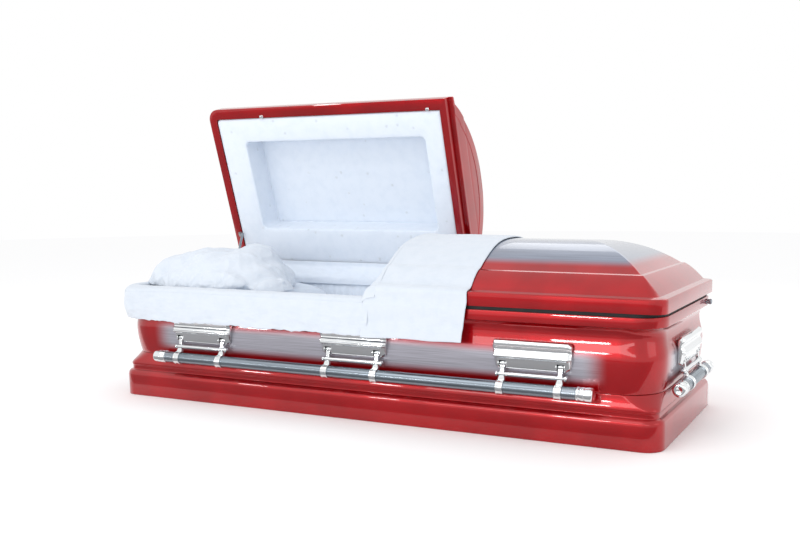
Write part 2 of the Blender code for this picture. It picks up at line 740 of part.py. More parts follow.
def offset_path(points, distance):
    """An open (y, z) path moved sideways to its left by a distance."""
    moved = []
    for i, (y, z) in enumerate(points):
        before = points[max(i - 1, 0)]
        after = points[min(i + 1, len(points) - 1)]
        along = Vector((after[0] - before[0], after[1] - before[1])).normalized()
        moved.append((y - along.y * distance, z + along.x * distance))
    return moved


def cloth_overlay():
    """The cloth over the front ledge and round the head end's corner, down to its hem on the outside."""
    end_x = SPLIT_X - RABBET_DEPTH - CLOTH_GAP
    over = GASKET_TOP + CLOTH_GAP
    inside = LEDGE_SIDE + SHEET + CLOTH_GAP
    end_inside = LEDGE_END + SHEET + CLOTH_GAP
    levels = [
        (inside, end_inside, LEDGE_Z - LEDGE_LIP + CLOTH_GAP),
        (inside, end_inside, over - CLOTH_GAP),
        (inside - CLOTH_GAP, end_inside - CLOTH_GAP, over),
        (0, 0, over),
        (-CLOTH_GAP, -CLOTH_GAP, over - CLOTH_GAP),
        (-HEM_FLARE, -HEM_FLARE, HEM_Z),
    ]
    rows = []
    for side_inset, end_inset, z in levels:
        front_y = side_inset - WIDTH / 2
        head_x = end_inset - LENGTH / 2
        radius = LEDGE_CORNER if end_inset > CLOTH_GAP else FLANGE_CORNER - end_inset
        row = [(end_x, front_y, z)]
        for step in range(CORNER_STEPS + 1):
            angle = (3 - step / CORNER_STEPS) * pi / 2
            row.append((head_x + radius + radius * cos(angle), front_y + radius + radius * sin(angle), z))
        row.append((head_x, OVERLAY_END_Y, z))
        rows.append(row)
    bm = loft(rows, closed=False)
    turn_outwards(bm, (end_x - WIDTH, 0, 0))
    return thicken(new_piece("overlay", mesh_from(bm, "overlay"), "cloth"), CLOTH, 1.0)


def foot_throw(lid_pivot):
    """Cloth over the foot lid near its cut end, hanging over the front."""
    path = [(-(WIDTH / 2 + HEM_FLARE), HEM_Z), (-(WIDTH / 2 + CLOTH_GAP), LEDGE_Z)]
    lid_path = [(-(LID_HALF_Y - inset), RIM_Z + rise) for inset, rise in lid_profile()]
    path += offset_path([(-LID_HALF_Y, RIM_Z), *lid_path], CLOTH_GAP)
    for share in (0.4, 1.0):
        behind = THROW_BEHIND * share
        reach = behind / (LID_HALF_Y - CREASE_INSET)
        fall = (CROWN_RISE - CREASE_RISE) * reach**CROWN_POWER
        path.append((behind, RIM_Z + CROWN_RISE - fall + CLOTH_GAP))
    start_x = FOOT_CUT_X + CLOTH_GAP
    rows = [[(start_x, y, z), (start_x + THROW_RUN, y, z)] for y, z in path]
    bm = loft(rows, closed=False)
    turn_outwards(bm, (start_x + THROW_RUN / 2, 0, 0))
    return hang_from(lid_pivot, thicken(new_piece("foot_throw", mesh_from(bm, "foot_throw"), "cloth"), CLOTH, 1.0))


def throw_fall():
    """The throw's fall from the foot lid's cut end down to the mattress."""
    right = SPLIT_X - RABBET_DEPTH - CLOTH_GAP
    foot = MATTRESS_TOP + GAP
    rings = []
    for y in (-FALL_HALF, -FALL_HALF * 0.75, -FALL_HALF * 0.4, 0, FALL_HALF * 0.4, FALL_HALF * 0.75):
        reach = min(abs(y) / (LID_HALF_Y - CREASE_INSET), 1.0)
        crown = RIM_Z + CROWN_RISE - (CROWN_RISE - CREASE_RISE) * reach**CROWN_POWER
        rise = crown - foot
        rings.append([
            (right, y, foot),
            (right, y, foot + rise),
            (right - FALL_RUN * 0.3, y, foot + rise * 0.93),
            (right - FALL_RUN * 0.65, y, foot + rise * 0.72),
            (right - FALL_RUN * 0.9, y, foot + rise * 0.46),
            (right - FALL_RUN, y, foot + rise * 0.2),
            (right - FALL_RUN, y, foot),
        ])
    bm = loft(rings, cap_first=True, cap_last=True)
    new_piece("throw_fall", mesh_from(bm, "throw_fall"), "cloth")


def folded_throw():
    """The heap of folded cloth on the pillow and over the head end's ledge."""
    over_ledge = GASKET_TOP + 2 * CLOTH_GAP + CLOTH + GAP
    on_pillow = PILLOW_TOP + GAP
    start = -LENGTH / 2 + HEAP_RUN[0]
    run = HEAP_RUN[1] - HEAP_RUN[0]
    rings = []
    for along, rise, half in ((0, 0.12, 0.55), (0.06, 0.5, 0.8), (0.125, 0.6, 0.9), (0.16, 0.65, 0.95),
                              (0.35, 0.8, 1), (0.6, 0.92, 1), (0.82, 1.0, 0.95), (0.93, 0.72, 0.85),
                              (1.0, 0.15, 0.6)):
        x = start + run * along
        low = over_ledge if x < LEDGE_INNER_X + CLOTH else on_pillow
        front, back = -HEAP_FRONT * half, HEAP_BACK * half
        top = over_ledge + HEAP_RISE * rise
        rings.append([
            (x, front, low),
            (x, front, low + (top - low) * 0.45),
            (x, front * 0.7, low + (top - low) * 0.85),
            (x, front * 0.2, top),
            (x, back * 0.4, low + (top - low) * 0.92),
            (x, back, low + (top - low) * 0.5),
            (x, back, low),
        ])
    bm = loft(rings, cap_first=True, cap_last=True)
    new_piece("folded_throw", mesh_from(bm, "folded_throw"), "cloth")


def bedding():
    pan_top = SHEET + GAP
    half_x = LENGTH / 2 - MATTRESS_INSET
    half_y = WIDTH / 2 - MATTRESS_SIDE
    mattress = block("mattress", "cloth", (-half_x, -half_y, pan_top), (half_x, half_y, MATTRESS_TOP))
    soften(mattress, 0.02, 1)
    start = -LENGTH / 2 + PILLOW_RUN[0]
    pillow = block("pillow", "cloth", (start, -PILLOW_HALF, MATTRESS_TOP + GAP),
                   (start + PILLOW_RUN[1], PILLOW_HALF, PILLOW_TOP))
    soften(pillow, 0.045, 2)
    outer = COVE_INSET + SHEET + LINING_GAP
    closed_band(
        "side_lining", "cloth",
        (outer + LINING_THICKNESS_SIDE, outer + LINING_THICKNESS_END), (outer, outer),
        MATTRESS_TOP + GAP, LEDGE_Z - LEDGE_LIP - GAP,
        BODY_CORNER, BODY_CORNER - LINING_THICKNESS_END,
    )


base_moulding()
bottom_pan()
body_shell()
lid_gasket()

head_pivot = pivot_empty("head_lid_pivot", (0, HINGE_Y, HINGE_Z), turn_x=-HEAD_LID_OPEN)
foot_pivot = pivot_empty("foot_lid_pivot", (0, HINGE_Y, HINGE_Z))
head_low_cut = SPLIT_X - RABBET_DEPTH
hang_from(head_pivot, lid("head_lid", -1, SPLIT_X, head_low_cut, RABBET_RISE))
hang_from(foot_pivot, lid("foot_lid", 1, FOOT_CUT_X, FOOT_CUT_X, RABBET_RISE))
hang_from(foot_pivot, foot_lid_lip())
hang_from(head_pivot, lid_lining("head_lid_lining", -1, head_low_cut))
hang_from(foot_pivot, lid_lining("foot_lid_lining", 1, FOOT_CUT_X))

HINGES = {"head": (head_pivot, SPLIT_X - LID_HALF_X), "foot": (foot_pivot, FOOT_CUT_X + LID_HALF_X)}
for end, (pivot, twice_middle) in HINGES.items():
    low_x, high_x = twice_middle / 2 - LEAF_RUN / 2, twice_middle / 2 + LEAF_RUN / 2
    hinge_leaf(f"{end}_hinge_box_leaf", low_x, high_x, -1, 5)
    hang_from(pivot, hinge_leaf(f"{end}_hinge_lid_leaf", low_x, high_x, 1, 5))

lid_stay(head_pivot)
latch_studs(head_pivot)
port_cap()

ear, bail, tip = ear_mesh(), bail_mesh(), tip_mesh()
LONG_PLACES = (-EAR_SPACING, 0.0, EAR_SPACING)
handle_set("front", 0.0, SIDE_FACE, LONG_PLACES, LONG_BAR, ear, bail, tip)
handle_set("back", pi, SIDE_FACE, LONG_PLACES, LONG_BAR, ear, bail, tip)
handle_set("foot", pi / 2, END_FACE, (0.0,), SHORT_BAR, ear, bail, tip)
handle_set("head", -pi / 2, END_FACE, (0.0,), SHORT_BAR, ear, bail, tip)

bedding()
cloth_overlay()
folded_throw()
throw_fall()
foot_throw(foot_pivot)

for piece in parts.objects:
    if piece.type == "MESH":
        piece.data.shade_smooth()
        piece.data.set_sharp_from_angle(angle=radians(35))
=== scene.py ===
"""Looks of the half-couch metal casket: lacquered box and lids, chromed swing handles, white cloth inside and
over the rim, modelled round the packed frame and shown on a plain studio floor."""

import json
from collections import namedtuple
from math import atan2, cos, dist, exp, pi, radians, sin, sqrt

import bmesh
import bpy
from bpy.props import FloatProperty, FloatVectorProperty, IntProperty, PointerProperty
from mathutils import Matrix, Vector, noise


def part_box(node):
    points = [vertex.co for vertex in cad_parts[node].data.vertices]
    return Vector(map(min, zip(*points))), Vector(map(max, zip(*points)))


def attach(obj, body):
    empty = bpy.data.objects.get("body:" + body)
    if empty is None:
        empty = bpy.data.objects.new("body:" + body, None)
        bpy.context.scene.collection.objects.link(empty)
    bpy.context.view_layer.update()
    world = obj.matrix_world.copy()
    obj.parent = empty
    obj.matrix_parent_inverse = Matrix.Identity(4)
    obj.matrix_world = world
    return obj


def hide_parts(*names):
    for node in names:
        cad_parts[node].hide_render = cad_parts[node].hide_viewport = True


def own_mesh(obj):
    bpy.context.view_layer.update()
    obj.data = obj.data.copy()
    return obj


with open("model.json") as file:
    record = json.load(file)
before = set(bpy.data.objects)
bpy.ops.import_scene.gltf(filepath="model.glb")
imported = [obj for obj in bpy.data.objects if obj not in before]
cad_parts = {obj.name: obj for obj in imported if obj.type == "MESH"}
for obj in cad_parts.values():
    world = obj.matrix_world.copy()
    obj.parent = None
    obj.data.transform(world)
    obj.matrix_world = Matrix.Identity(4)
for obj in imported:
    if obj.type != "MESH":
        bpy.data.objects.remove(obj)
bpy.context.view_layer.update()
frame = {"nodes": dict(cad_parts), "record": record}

bl_info = {
    "name": "Funeral Casket",
    "version": (1, 0, 0),
    "blender": (4, 5, 0),
    "location": "3D View > Sidebar > Casket",
    "description": "Models a half-couch metal casket with its handles, lining and draped cloth",
    "category": "Object",
}

BASE_LOW, BASE_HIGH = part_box("base_moulding")
SHELL_LOW, SHELL_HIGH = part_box("body_shell")
FOOT_LID_LOW, FOOT_LID_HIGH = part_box("foot_lid")
JOINTS = frame["record"]["behaviour"]["joints"]
LID_HINGE = Vector(next(j["pos_m"] for j in JOINTS if j["name"] == "foot_lid_hinge"))
HANDLE_PIVOTS = {j["child"]: Vector(j["pos_m"]) for j in JOINTS if j["child"].endswith("_handle")}

HEAD_LID_OPEN = radians(74.6)
TO_HINGE = Matrix.Translation(LID_HINGE)
OPENING = TO_HINGE @ Matrix.Rotation(-HEAD_LID_OPEN, 4, "X") @ TO_HINGE.inverted()
SPLIT_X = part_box("head_lid")[1].x
FOOT_CUT_X = FOOT_LID_LOW.x
RIM_Z = FOOT_LID_LOW.z
LEDGE_Z = SHELL_HIGH.z
HALF_LID = FOOT_LID_HIGH.y
RABBET_DEPTH = 0.016
LEDGE_SIDE, LEDGE_END = 0.042, 0.034
WELD = 0.00003


def size(name, description, default):
    return FloatProperty(name=name, description=description, default=default, unit="LENGTH", precision=4)


def colour(name, description, default):
    return FloatVectorProperty(name=name, description=description, default=default, subtype="COLOR", size=3)


class CasketMetalSizes(bpy.types.PropertyGroup):
    """Sheet-metal sizes of the box and the lids."""

    sheet: size("Sheet", "Thickness of the sheet metal", 0.0012)
    edge_round: size("Edge round", "Radius of the folded edges", 0.0022)
    base_corner: size("Base corner", "Corner radius of the base moulding", 0.060)
    body_corner: size("Body corner", "Corner radius of the box sides", 0.120)
    flange_corner: size("Flange corner", "Corner radius of the flange under the lids", 0.090)
    lid_corner: size("Lid corner", "Corner radius of the lid rims", 0.050)
    base_face: size("Base face", "Height of the flat face of the base", 0.0775)
    waist_inset: size("Waist inset", "How far the waist lies in from the base", 0.0205)
    belly_inset: size("Belly inset", "How far the belly lies in from the base", 0.0105)
    neck_inset: size("Neck inset", "How far the hollow under the flange lies in", 0.0213)
    crease_inset: size("Crease inset", "Distance from the lid's rim in to its upper crease", 0.101)
    crease_rise: size("Crease rise", "Height of the upper crease over the rim", 0.1075)
    crown_rise: size("Crown rise", "Height of the crown over the rim", 0.196)
    panel_border: size("Panel border", "Border round the raised line on a lid's cut end", 0.034)
    corner_steps: IntProperty(name="Corner steps", description="Faces round a corner", default=10, min=3)


class CasketHandleSizes(bpy.types.PropertyGroup):
    """Sizes of the swing handles."""

    bar_radius: size("Bar radius", "Radius of the bars", 0.0200)
    bar_drop: size("Bar drop", "Distance from the pivot down to the bar", 0.074)
    bar_stand_out: size("Bar stand-out", "How far the bar stands out from the pivot", 0.0175)
    arm_spacing: size("Arm spacing", "Distance between the two arms of a bail", 0.194)
    cross_rod_radius: size("Cross rod", "Radius of the rod between the arms", 0.0068)
    cross_rod_drop: size("Cross rod drop", "Distance along an arm to the cross rod", 0.034)
    collar_radius: size("Collar radius", "Outer radius of the collars round the bar", 0.0245)
    knob_radius: size("Knob radius", "Radius of the round knobs at the pivots", 0.0092)
    ear_width: size("Ear width", "Width of a bracket", 0.264)
    round_sides: IntProperty(name="Round sides", description="Faces round a turned piece", default=40, min=12)


class CasketClothSizes(bpy.types.PropertyGroup):
    """Sizes of the cloth."""

    thickness: size("Thickness", "Thickness of the lined cloth", 0.0046)
    gap: size("Gap", "Clearance between the cloth and the metal", 0.0022)
    hem_z: size("Hem height", "Height of the hem over the floor", 0.299)
    hem_flare: size("Hem flare", "How far the hem stands off the box", 0.0270)
    fold_depth: size("Fold depth", "Depth of the soft folds at the hem", 0.0045)
    recess_depth: size("Recess depth", "Depth of the lid lining's recess", 0.112)
    front_band: size("Front band", "Width of the lid lining's front border", 0.100)
    end_band: size("End band", "Width of the lid lining's border at the outer end", 0.126)
    cut_band: size("Cut band", "Width of the lid lining's border at the cut end", 0.083)
    back_band: size("Back band", "Width of the lid lining's border at the hinges", 0.158)
    border_puff: size("Border puff", "How far the padded border swells", 0.005)


class CasketColours(bpy.types.PropertyGroup):
    """Colours of the finishes."""

    red: colour("Red", "Candy red lacquer", (0.43, 0.003, 0.007))
    silver: colour("Silver", "Brushed silver under clear lacquer", (0.56, 0.55, 0.62))
    chrome: colour("Chrome", "Polished chrome", (0.83, 0.85, 0.86))
    bar: colour("Bar", "Dark brushed metal", (0.26, 0.30, 0.34))
    cloth: colour("Cloth", "White cloth", (0.63, 0.680, 0.750))
    # The cloth hollows colour is painted shade: the cloth darkened where its crinkle sinks.
    shadow_cloth: colour("Cloth hollows", "Cloth in the hollows of its weave", (0.60, 0.655, 0.73))
    rubber: colour("Rubber", "Gasket", (0.006, 0.006, 0.007))
    steel: colour("Steel", "Plated steel of the hinges and the stay", (0.42, 0.44, 0.46))
    floor: colour("Floor", "Studio floor", (0.975, 0.975, 0.98))


class CasketStageSettings(bpy.types.PropertyGroup):
    """Viewpoint and light."""

    azimuth: FloatProperty(name="Azimuth", description="View direction round the casket",
                           default=radians(24.06), subtype="ANGLE")
    pitch: FloatProperty(name="Pitch", description="How far the camera looks down", default=radians(7.41),
                         subtype="ANGLE")
    roll: FloatProperty(name="Roll", description="Roll of the camera", default=radians(-0.25),
                        subtype="ANGLE")
    eye: FloatVectorProperty(name="Eye", description="Where the camera stands",
                             default=(1.7118, -2.9405, 0.7786), subtype="TRANSLATION", size=3)
    lens: FloatProperty(name="Lens", description="Focal length in mm on a 36 mm sensor", default=41.04)
    shift_x: FloatProperty(name="Shift X", description="Sideways shift of the framing", default=-0.1304)
    shift_y: FloatProperty(name="Shift Y", description="Upwards shift of the framing", default=0.0524)
    key_power: FloatProperty(name="Key light", description="Watts of the large overhead light", default=26)
    strip_power: FloatProperty(name="Strip light", description="Watts of the long front light", default=12)
    sky: FloatProperty(name="Sky", description="Brightness of the white surroundings", default=1.0)


def metal():
    return bpy.context.scene.casket_metal


def handles():
    return bpy.context.scene.casket_handles


def cloth():
    return bpy.context.scene.casket_cloth


def colours():
    return bpy.context.scene.casket_colours


# Materials

class Finish:
    """A material built node by node round one Principled shader."""

    def __init__(self, name, **values):
        self.material = bpy.data.materials.new(name)
        self.material.use_nodes = True
        self.tree = self.material.node_tree
        self.shader = self.tree.nodes["Principled BSDF"]
        for socket, value in values.items():
            self.set(socket.replace("_", " "), value)
        self.coordinates = self.node("ShaderNodeTexCoord").outputs["Object"]

    def set(self, socket, value):
        """Sets a constant, or links another node's output."""
        target = self.shader.inputs[socket]
        if isinstance(value, bpy.types.NodeSocket):
            self.tree.links.new(value, target)
        elif target.type == "RGBA":
            target.default_value = (*value, 1)
        else:
            target.default_value = value

    def node(self, kind, inputs=None, **settings):
        made = self.tree.nodes.new(kind)
        made.location.x = -220 * len(self.tree.nodes)
        for name, value in settings.items():
            setattr(made, name, value)
        for name, value in (inputs or {}).items():
            if isinstance(value, bpy.types.NodeSocket):
                self.tree.links.new(value, made.inputs[name])
            else:
                made.inputs[name].default_value = value
        return made

    def math(self, operation, first, second=0.0):
        return self.node("ShaderNodeMath", {0: first, 1: second}, operation=operation).outputs[0]

    def ramp(self, value, start, end):
        """0 before start and 1 after end, smooth between them."""
        inputs = {"Value": value, "From Min": start, "From Max": end}
        return self.node("ShaderNodeMapRange", inputs, interpolation_type="SMOOTHSTEP").outputs["Result"]

    def band(self, value, low, high, softness):
        """1 between low and high, fading outside them."""
        rise, fall = self.ramp(value, low - softness, low), self.ramp(value, high + softness, high)
        return self.math("MULTIPLY", rise, fall)

    def stretched(self, scale, location=(0, 0, 0), rotation=(0, 0, 0), vector=None):
        inputs = {"Vector": vector or self.coordinates, "Location": location, "Rotation": rotation,
                  "Scale": scale}
        return self.node("ShaderNodeMapping", inputs).outputs[0]

    def noise(self, scale, detail=3.0, vector=None, roughness=0.55):
        inputs = {"Vector": vector or self.coordinates, "Scale": scale, "Detail": detail,
                  "Roughness": roughness}
        return self.node("ShaderNodeTexNoise", inputs).outputs["Fac"]

    def mix(self, share, first, second):
        made = self.node("ShaderNodeMix", data_type="RGBA")
        for index, value in ((0, share), (6, first), (7, second)):
            if isinstance(value, bpy.types.NodeSocket):
                self.tree.links.new(value, made.inputs[index])
            else:
                made.inputs[index].default_value = value if index == 0 else (*value, 1)
        return made.outputs[2]

    def bump(self, height, strength, distance, socket="Normal"):
        inputs = {"Height": height, "Strength": strength, "Distance": distance}
        self.set(socket, self.node("ShaderNodeBump", inputs).outputs[0])


def times(factor, tint):
    return tuple(factor * value for value in tint)


def lacquer_finish(name, silver_mask, depth=1.0):
    """Candy red over brushed silver, under a clear coat. silver_mask builds the share of bare silver, and
    depth darkens that silver towards blue as painted shade, for lids whose tops catch too bright a sky."""
    c = colours()
    finish = Finish(name, Metallic=0.62, Roughness=0.30, Specular_IOR_Level=0.12,
                    Coat_Weight=1.0, Coat_Roughness=0.025, Coat_IOR=1.5)
    brushed = finish.noise(1.0, 4.0, finish.stretched((5, 420, 420)))
    mottled = finish.noise(7.0, 2.0)
    # Painted shade: a depth below 1 darkens the silver towards blue.
    silver_tint = (c.silver[0] * depth ** 1.6, c.silver[1] * depth ** 1.3, c.silver[2] * depth)
    silver = finish.mix(finish.ramp(brushed, 0.32, 0.68), times(0.72, silver_tint), silver_tint)
    red = finish.mix(finish.ramp(mottled, 0.3, 0.7), times(0.80, c.red), tuple(c.red))
    share = silver_mask(finish)
    finish.set("Base Color", red if share is None else finish.mix(share, red, silver))
    finish.bump(finish.noise(260.0, 1.0), 0.05, 0.0004, "Coat Normal")
    return finish.material


def no_silver(_finish):
    return None


def side_silver(finish):
    """The brushed band round the belly of the box, faded towards the corners."""
    split = finish.node("ShaderNodeSeparateXYZ", {0: finish.coordinates})
    along, across = (finish.math("ABSOLUTE", split.outputs[i]) for i in (0, 1))
    height = split.outputs[2]
    streaks = finish.noise(1.0, 2.0, finish.stretched((2.2, 30, 30)))
    ragged = finish.math("ADD", height, finish.math("MULTIPLY", streaks, 0.010))
    belt = finish.band(ragged, 0.222, 0.268, 0.034)
    on_sides = finish.math("MULTIPLY", finish.ramp(along, 0.90, 0.81), finish.ramp(across, 0.30, 0.32))
    on_ends = finish.math("MULTIPLY", finish.ramp(across, 0.27, 0.15), finish.ramp(along, 1.0, 1.02))
    return finish.math("MULTIPLY", belt, finish.math("MAXIMUM", on_sides, on_ends))


def crown_silver(closed_place, cut_x):
    """The brushed crown of a lid. closed_place turns a point on the lid back to where it is when shut."""

    def mask(finish):
        shut = closed_place(finish)
        split = finish.node("ShaderNodeSeparateXYZ", {0: shut})
        along, across = (finish.math("ABSOLUTE", split.outputs[i]) for i in (0, 1))
        from_end = finish.math("SUBTRACT", FOOT_LID_HIGH.x, along)
        from_side = finish.math("SUBTRACT", FOOT_LID_HIGH.y, across)
        inset = finish.math("MINIMUM", from_side, finish.math("MULTIPLY", from_end, 0.95))
        off_cut = finish.math("ABSOLUTE", finish.math("SUBTRACT", split.outputs[0], cut_x))
        over_crease = finish.ramp(split.outputs[2], RIM_Z + 0.118, RIM_Z + 0.136)
        skin = finish.math("MULTIPLY", over_crease, finish.ramp(off_cut, 0.0015, 0.004))
        return finish.math("MULTIPLY", finish.ramp(inset, 0.118, 0.160), skin)

    return mask


def chrome_finish():
    finish = Finish("polished chrome", Base_Color=colours().chrome, Metallic=1.0)
    finish.set("Roughness", finish.node("ShaderNodeMapRange", {"Value": finish.noise(30.0), "To Min": 0.04,
                                                               "To Max": 0.13}).outputs[0])
    finish.bump(finish.noise(120.0, 2.0), 0.06, 0.0006)
    return finish.material


def bar_finish(name, along_x):
    """Dark metal brushed along the bar, with darker rings near its ends."""
    c = colours()
    finish = Finish(name, Metallic=1.0, Roughness=0.27, Anisotropic=0.35)
    stretch = (3, 600, 600) if along_x else (600, 3, 600)
    grain = finish.noise(1.0, 3.0, finish.stretched(stretch))
    split = finish.node("ShaderNodeSeparateXYZ", {0: finish.coordinates})
    along = finish.math("ABSOLUTE", split.outputs[0 if along_x else 1])
    ring_spacing = 0.006
    rings = finish.math("SINE", finish.math("MULTIPLY", along, 2 * pi / ring_spacing))
    start = 0.745 if along_x else 0.105
    ringed = finish.math("MULTIPLY", finish.ramp(rings, 0.0, 1.0), finish.ramp(along, start, start + 0.01))
    brushed = finish.mix(finish.ramp(grain, 0.3, 0.7), times(0.75, c.bar), times(1.25, c.bar))
    ring_tint = (0.62, 0.62, 0.68)
    finish.set("Base Color", finish.mix(finish.math("MULTIPLY", ringed, 0.45), brushed, ring_tint))
    finish.bump(grain, 0.08, 0.0004)
    return finish.material


def steel_finish():
    c = colours()
    finish = Finish("plated steel", Metallic=1.0, Roughness=0.36)
    spangle = finish.ramp(finish.noise(90.0, 3.0), 0.35, 0.7)
    finish.set("Base Color", finish.mix(spangle, times(0.8, c.steel), tuple(c.steel)))
    finish.bump(finish.noise(240.0, 2.0), 0.1, 0.0003)
    return finish.material


def rubber_finish():
    finish = Finish("gasket rubber", Roughness=0.62)
    worn, worn_tint = finish.ramp(finish.noise(60.0), 0.4, 0.8), (0.014, 0.014, 0.015)
    finish.set("Base Color", finish.mix(worn, tuple(colours().rubber), worn_tint))
    finish.bump(finish.noise(400.0, 2.0), 0.2, 0.0003)
    return finish.material


def cloth_finish(name, crinkle, sprigs=False, painted_fill_light=1.0):
    """Soft white cloth: fine weave, shallow crinkle with painted shade in its hollows, and small raised
    sprigs on the panels.
    """
    c = colours()
    finish = Finish(name, Roughness=0.86, Sheen_Weight=0.25, Sheen_Roughness=0.5)
    threads, thread_density = [], 2600.0
    for axis, rotation in ((0, (0.5, 0.4, 0.3)), (1, (-0.4, 0.3, 0.8))):
        split = finish.node("ShaderNodeSeparateXYZ", {0: finish.stretched((1, 1, 1), rotation=rotation)})
        threads.append(finish.math("SINE", finish.math("MULTIPLY", split.outputs[axis], thread_density)))
    weave = finish.math("MULTIPLY", *threads)
    puckers = finish.noise(26.0, 5.0)
    # Painted shade: where the puckers sink, the cloth darkens towards the hollows colour.
    shade = finish.ramp(puckers, 0.25, 0.62)
    # The brightening factor is painted fill light: it lightens both tones of the cloth for pieces that sit in
    # shade, inside the box and in the lid's recess.
    tint = finish.mix(shade, times(painted_fill_light, c.shadow_cloth), times(painted_fill_light, c.cloth))
    relief = finish.math("MULTIPLY", puckers, crinkle)
    relief = finish.math("ADD", relief, finish.math("MULTIPLY", weave, 0.05))
    if sprigs:
        cells = finish.node("ShaderNodeTexVoronoi",
                            {"Vector": finish.coordinates, "Scale": 17.0, "Randomness": 0.75})
        petals = finish.math("MULTIPLY", finish.noise(330.0, 1.0), 0.22)
        spot = finish.ramp(finish.math("ADD", cells.outputs["Distance"], petals), 0.235, 0.165)
        sprig_tint = (0.56, 0.60, 0.62)
        tint = finish.mix(finish.math("MULTIPLY", spot, 0.42), tint, sprig_tint)
        relief = finish.math("ADD", relief, finish.math("MULTIPLY", spot, 0.8))
    finish.set("Base Color", tint)
    finish.bump(relief, 0.55, 0.003)
    return finish.material


# Modelling steps

Level = namedtuple("Level", "low_x high_x low_y high_y low_radius high_radius z")


def deselect():
    if bpy.context.object is not None and bpy.context.object.mode != "OBJECT":
        bpy.ops.object.mode_set(mode="OBJECT")
    bpy.ops.object.select_all(action="DESELECT")


def leave_edit():
    bpy.ops.object.mode_set(mode="OBJECT")
    return bpy.context.object


def pick(rule):
    """Selects the vertices of the edited mesh that the rule holds for."""
    mesh = bpy.context.object.data
    bpy.ops.mesh.select_mode(type="VERT")
    bpy.ops.mesh.select_all(action="DESELECT")
    bm = bmesh.from_edit_mesh(mesh)
    for vertex in bm.verts:
        vertex.select = rule(vertex)
    bm.select_flush_mode()
    bmesh.update_edit_mesh(mesh)


def fit_edited(scale, centre):
    """Stretches what is selected and moves it."""
    bpy.ops.transform.resize(value=scale)
    bpy.ops.transform.translate(value=centre)


def block(size, centre, cuts=0):
    """A box in edit mode, cut into finer faces."""
    deselect()
    bpy.ops.mesh.primitive_cube_add(size=1, enter_editmode=True)
    fit_edited(size, centre)
    if cuts:
        bpy.ops.mesh.subdivide(number_cuts=cuts)


def extrude(step):
    bpy.ops.mesh.extrude_region_move(TRANSFORM_OT_translate={"value": step})


def start_point(place):
    """A new mesh in edit mode, with one selected vertex."""
    deselect()
    bpy.ops.mesh.primitive_plane_add(size=1, enter_editmode=True)
    bpy.ops.mesh.merge(type="CENTER")
    bpy.ops.transform.translate(value=place)


def draw_through(points):
    """Extrudes what is selected from each point to the next."""
    for here, there in zip(points, points[1:]):
        extrude(Vector(there) - Vector(here))


def corners(level):
    for side_x in (-1, 1):
        radius = level.low_radius if side_x < 0 else level.high_radius
        edge_x = level.low_x if side_x < 0 else level.high_x
        for side_y in (-1, 1):
            edge_y = level.low_y if side_y < 0 else level.high_y
            centre = Vector((edge_x - side_x * radius, edge_y - side_y * radius, level.z))
            yield side_x, side_y, radius, centre


def shape_corners(old, new):
    """Takes the selected ring's rounded corners from one level's arcs to another's."""
    mesh = bpy.context.object.data
    bm = bmesh.from_edit_mesh(mesh)
    bm.verts.ensure_lookup_table()
    middle = Vector(((old.low_x + old.high_x) / 2, (old.low_y + old.high_y) / 2))
    groups = {}
    for vertex in bm.verts:
        if vertex.select:
            side = (1 if vertex.co.x > middle.x else -1, 1 if vertex.co.y > middle.y else -1)
            groups.setdefault(side, set()).add(vertex.index)
    for (side_x, side_y, radius, centre), (_, _, new_radius, new_centre) in zip(corners(old), corners(new)):
        mine = groups[(side_x, side_y)]
        pick(lambda vertex: vertex.index in mine)
        if abs(new_radius - radius) > 1e-6:
            share = new_radius / radius
            bpy.ops.transform.resize(value=(share, share, 1), center_override=centre)
        bpy.ops.transform.translate(value=new_centre - centre)
    ring = set().union(*groups.values())
    pick(lambda vertex: vertex.index in ring)


def ring_skin(levels):
    """A skin through rounded rectangles: a beveled plane's outline, extruded and shaped level by level."""
    start_radius = 0.02
    first = levels[0]
    deselect()
    bpy.ops.mesh.primitive_plane_add(size=1, enter_editmode=True)
    fit_edited((first.high_x - first.low_x, first.high_y - first.low_y, 1),
               ((first.low_x + first.high_x) / 2, (first.low_y + first.high_y) / 2, first.z))
    bpy.ops.mesh.bevel(offset=start_radius, segments=metal().corner_steps, affect="VERTICES")
    bpy.ops.mesh.delete(type="ONLY_FACE")
    bpy.ops.mesh.select_all(action="SELECT")
    shape_corners(first._replace(low_radius=start_radius, high_radius=start_radius), first)
    for below, above in zip(levels, levels[1:]):
        extrude((0, 0, above.z - below.z))
        shape_corners(below._replace(z=above.z), above)
    return leave_edit()


def edit_all():
    """Opens the active piece for editing with all of it selected."""
    bpy.ops.object.mode_set(mode="EDIT")
    bpy.ops.mesh.select_all(action="SELECT")


def merge_points():
    edit_all()
    bpy.ops.mesh.remove_doubles(threshold=WELD)
    leave_edit()


def close_ridge(middle_y, beside=0.0006):
    """Draws the points beside a line along X together onto it."""
    bpy.ops.object.mode_set(mode="EDIT")
    pick(lambda vertex: abs(vertex.co.y - middle_y) < beside)
    bpy.ops.transform.resize(value=(1, 0, 1), center_override=(0, middle_y, 0))
    merge_points()


def turn_away_from(piece, centre):
    """Turns the faces of an open skin away from a point inside it."""
    centre = Vector(centre)
    outward = sum((f.center - centre).dot(f.normal) * f.area for f in piece.data.polygons)
    if outward < 0:
        edit_all()
        bpy.ops.mesh.flip_normals()
        leave_edit()


def apply_modifier(piece, kind, **settings):
    made = piece.modifiers.new(kind.lower(), kind)
    for name, value in settings.items():
        setattr(made, name, value)
    bpy.context.view_layer.objects.active = piece
    bpy.ops.object.modifier_apply(modifier=made.name)


def smooth_by_angle(piece, degrees=38):
    deselect()
    piece.select_set(True)
    bpy.context.view_layer.objects.active = piece
    bpy.ops.object.shade_smooth_by_angle(angle=radians(degrees))


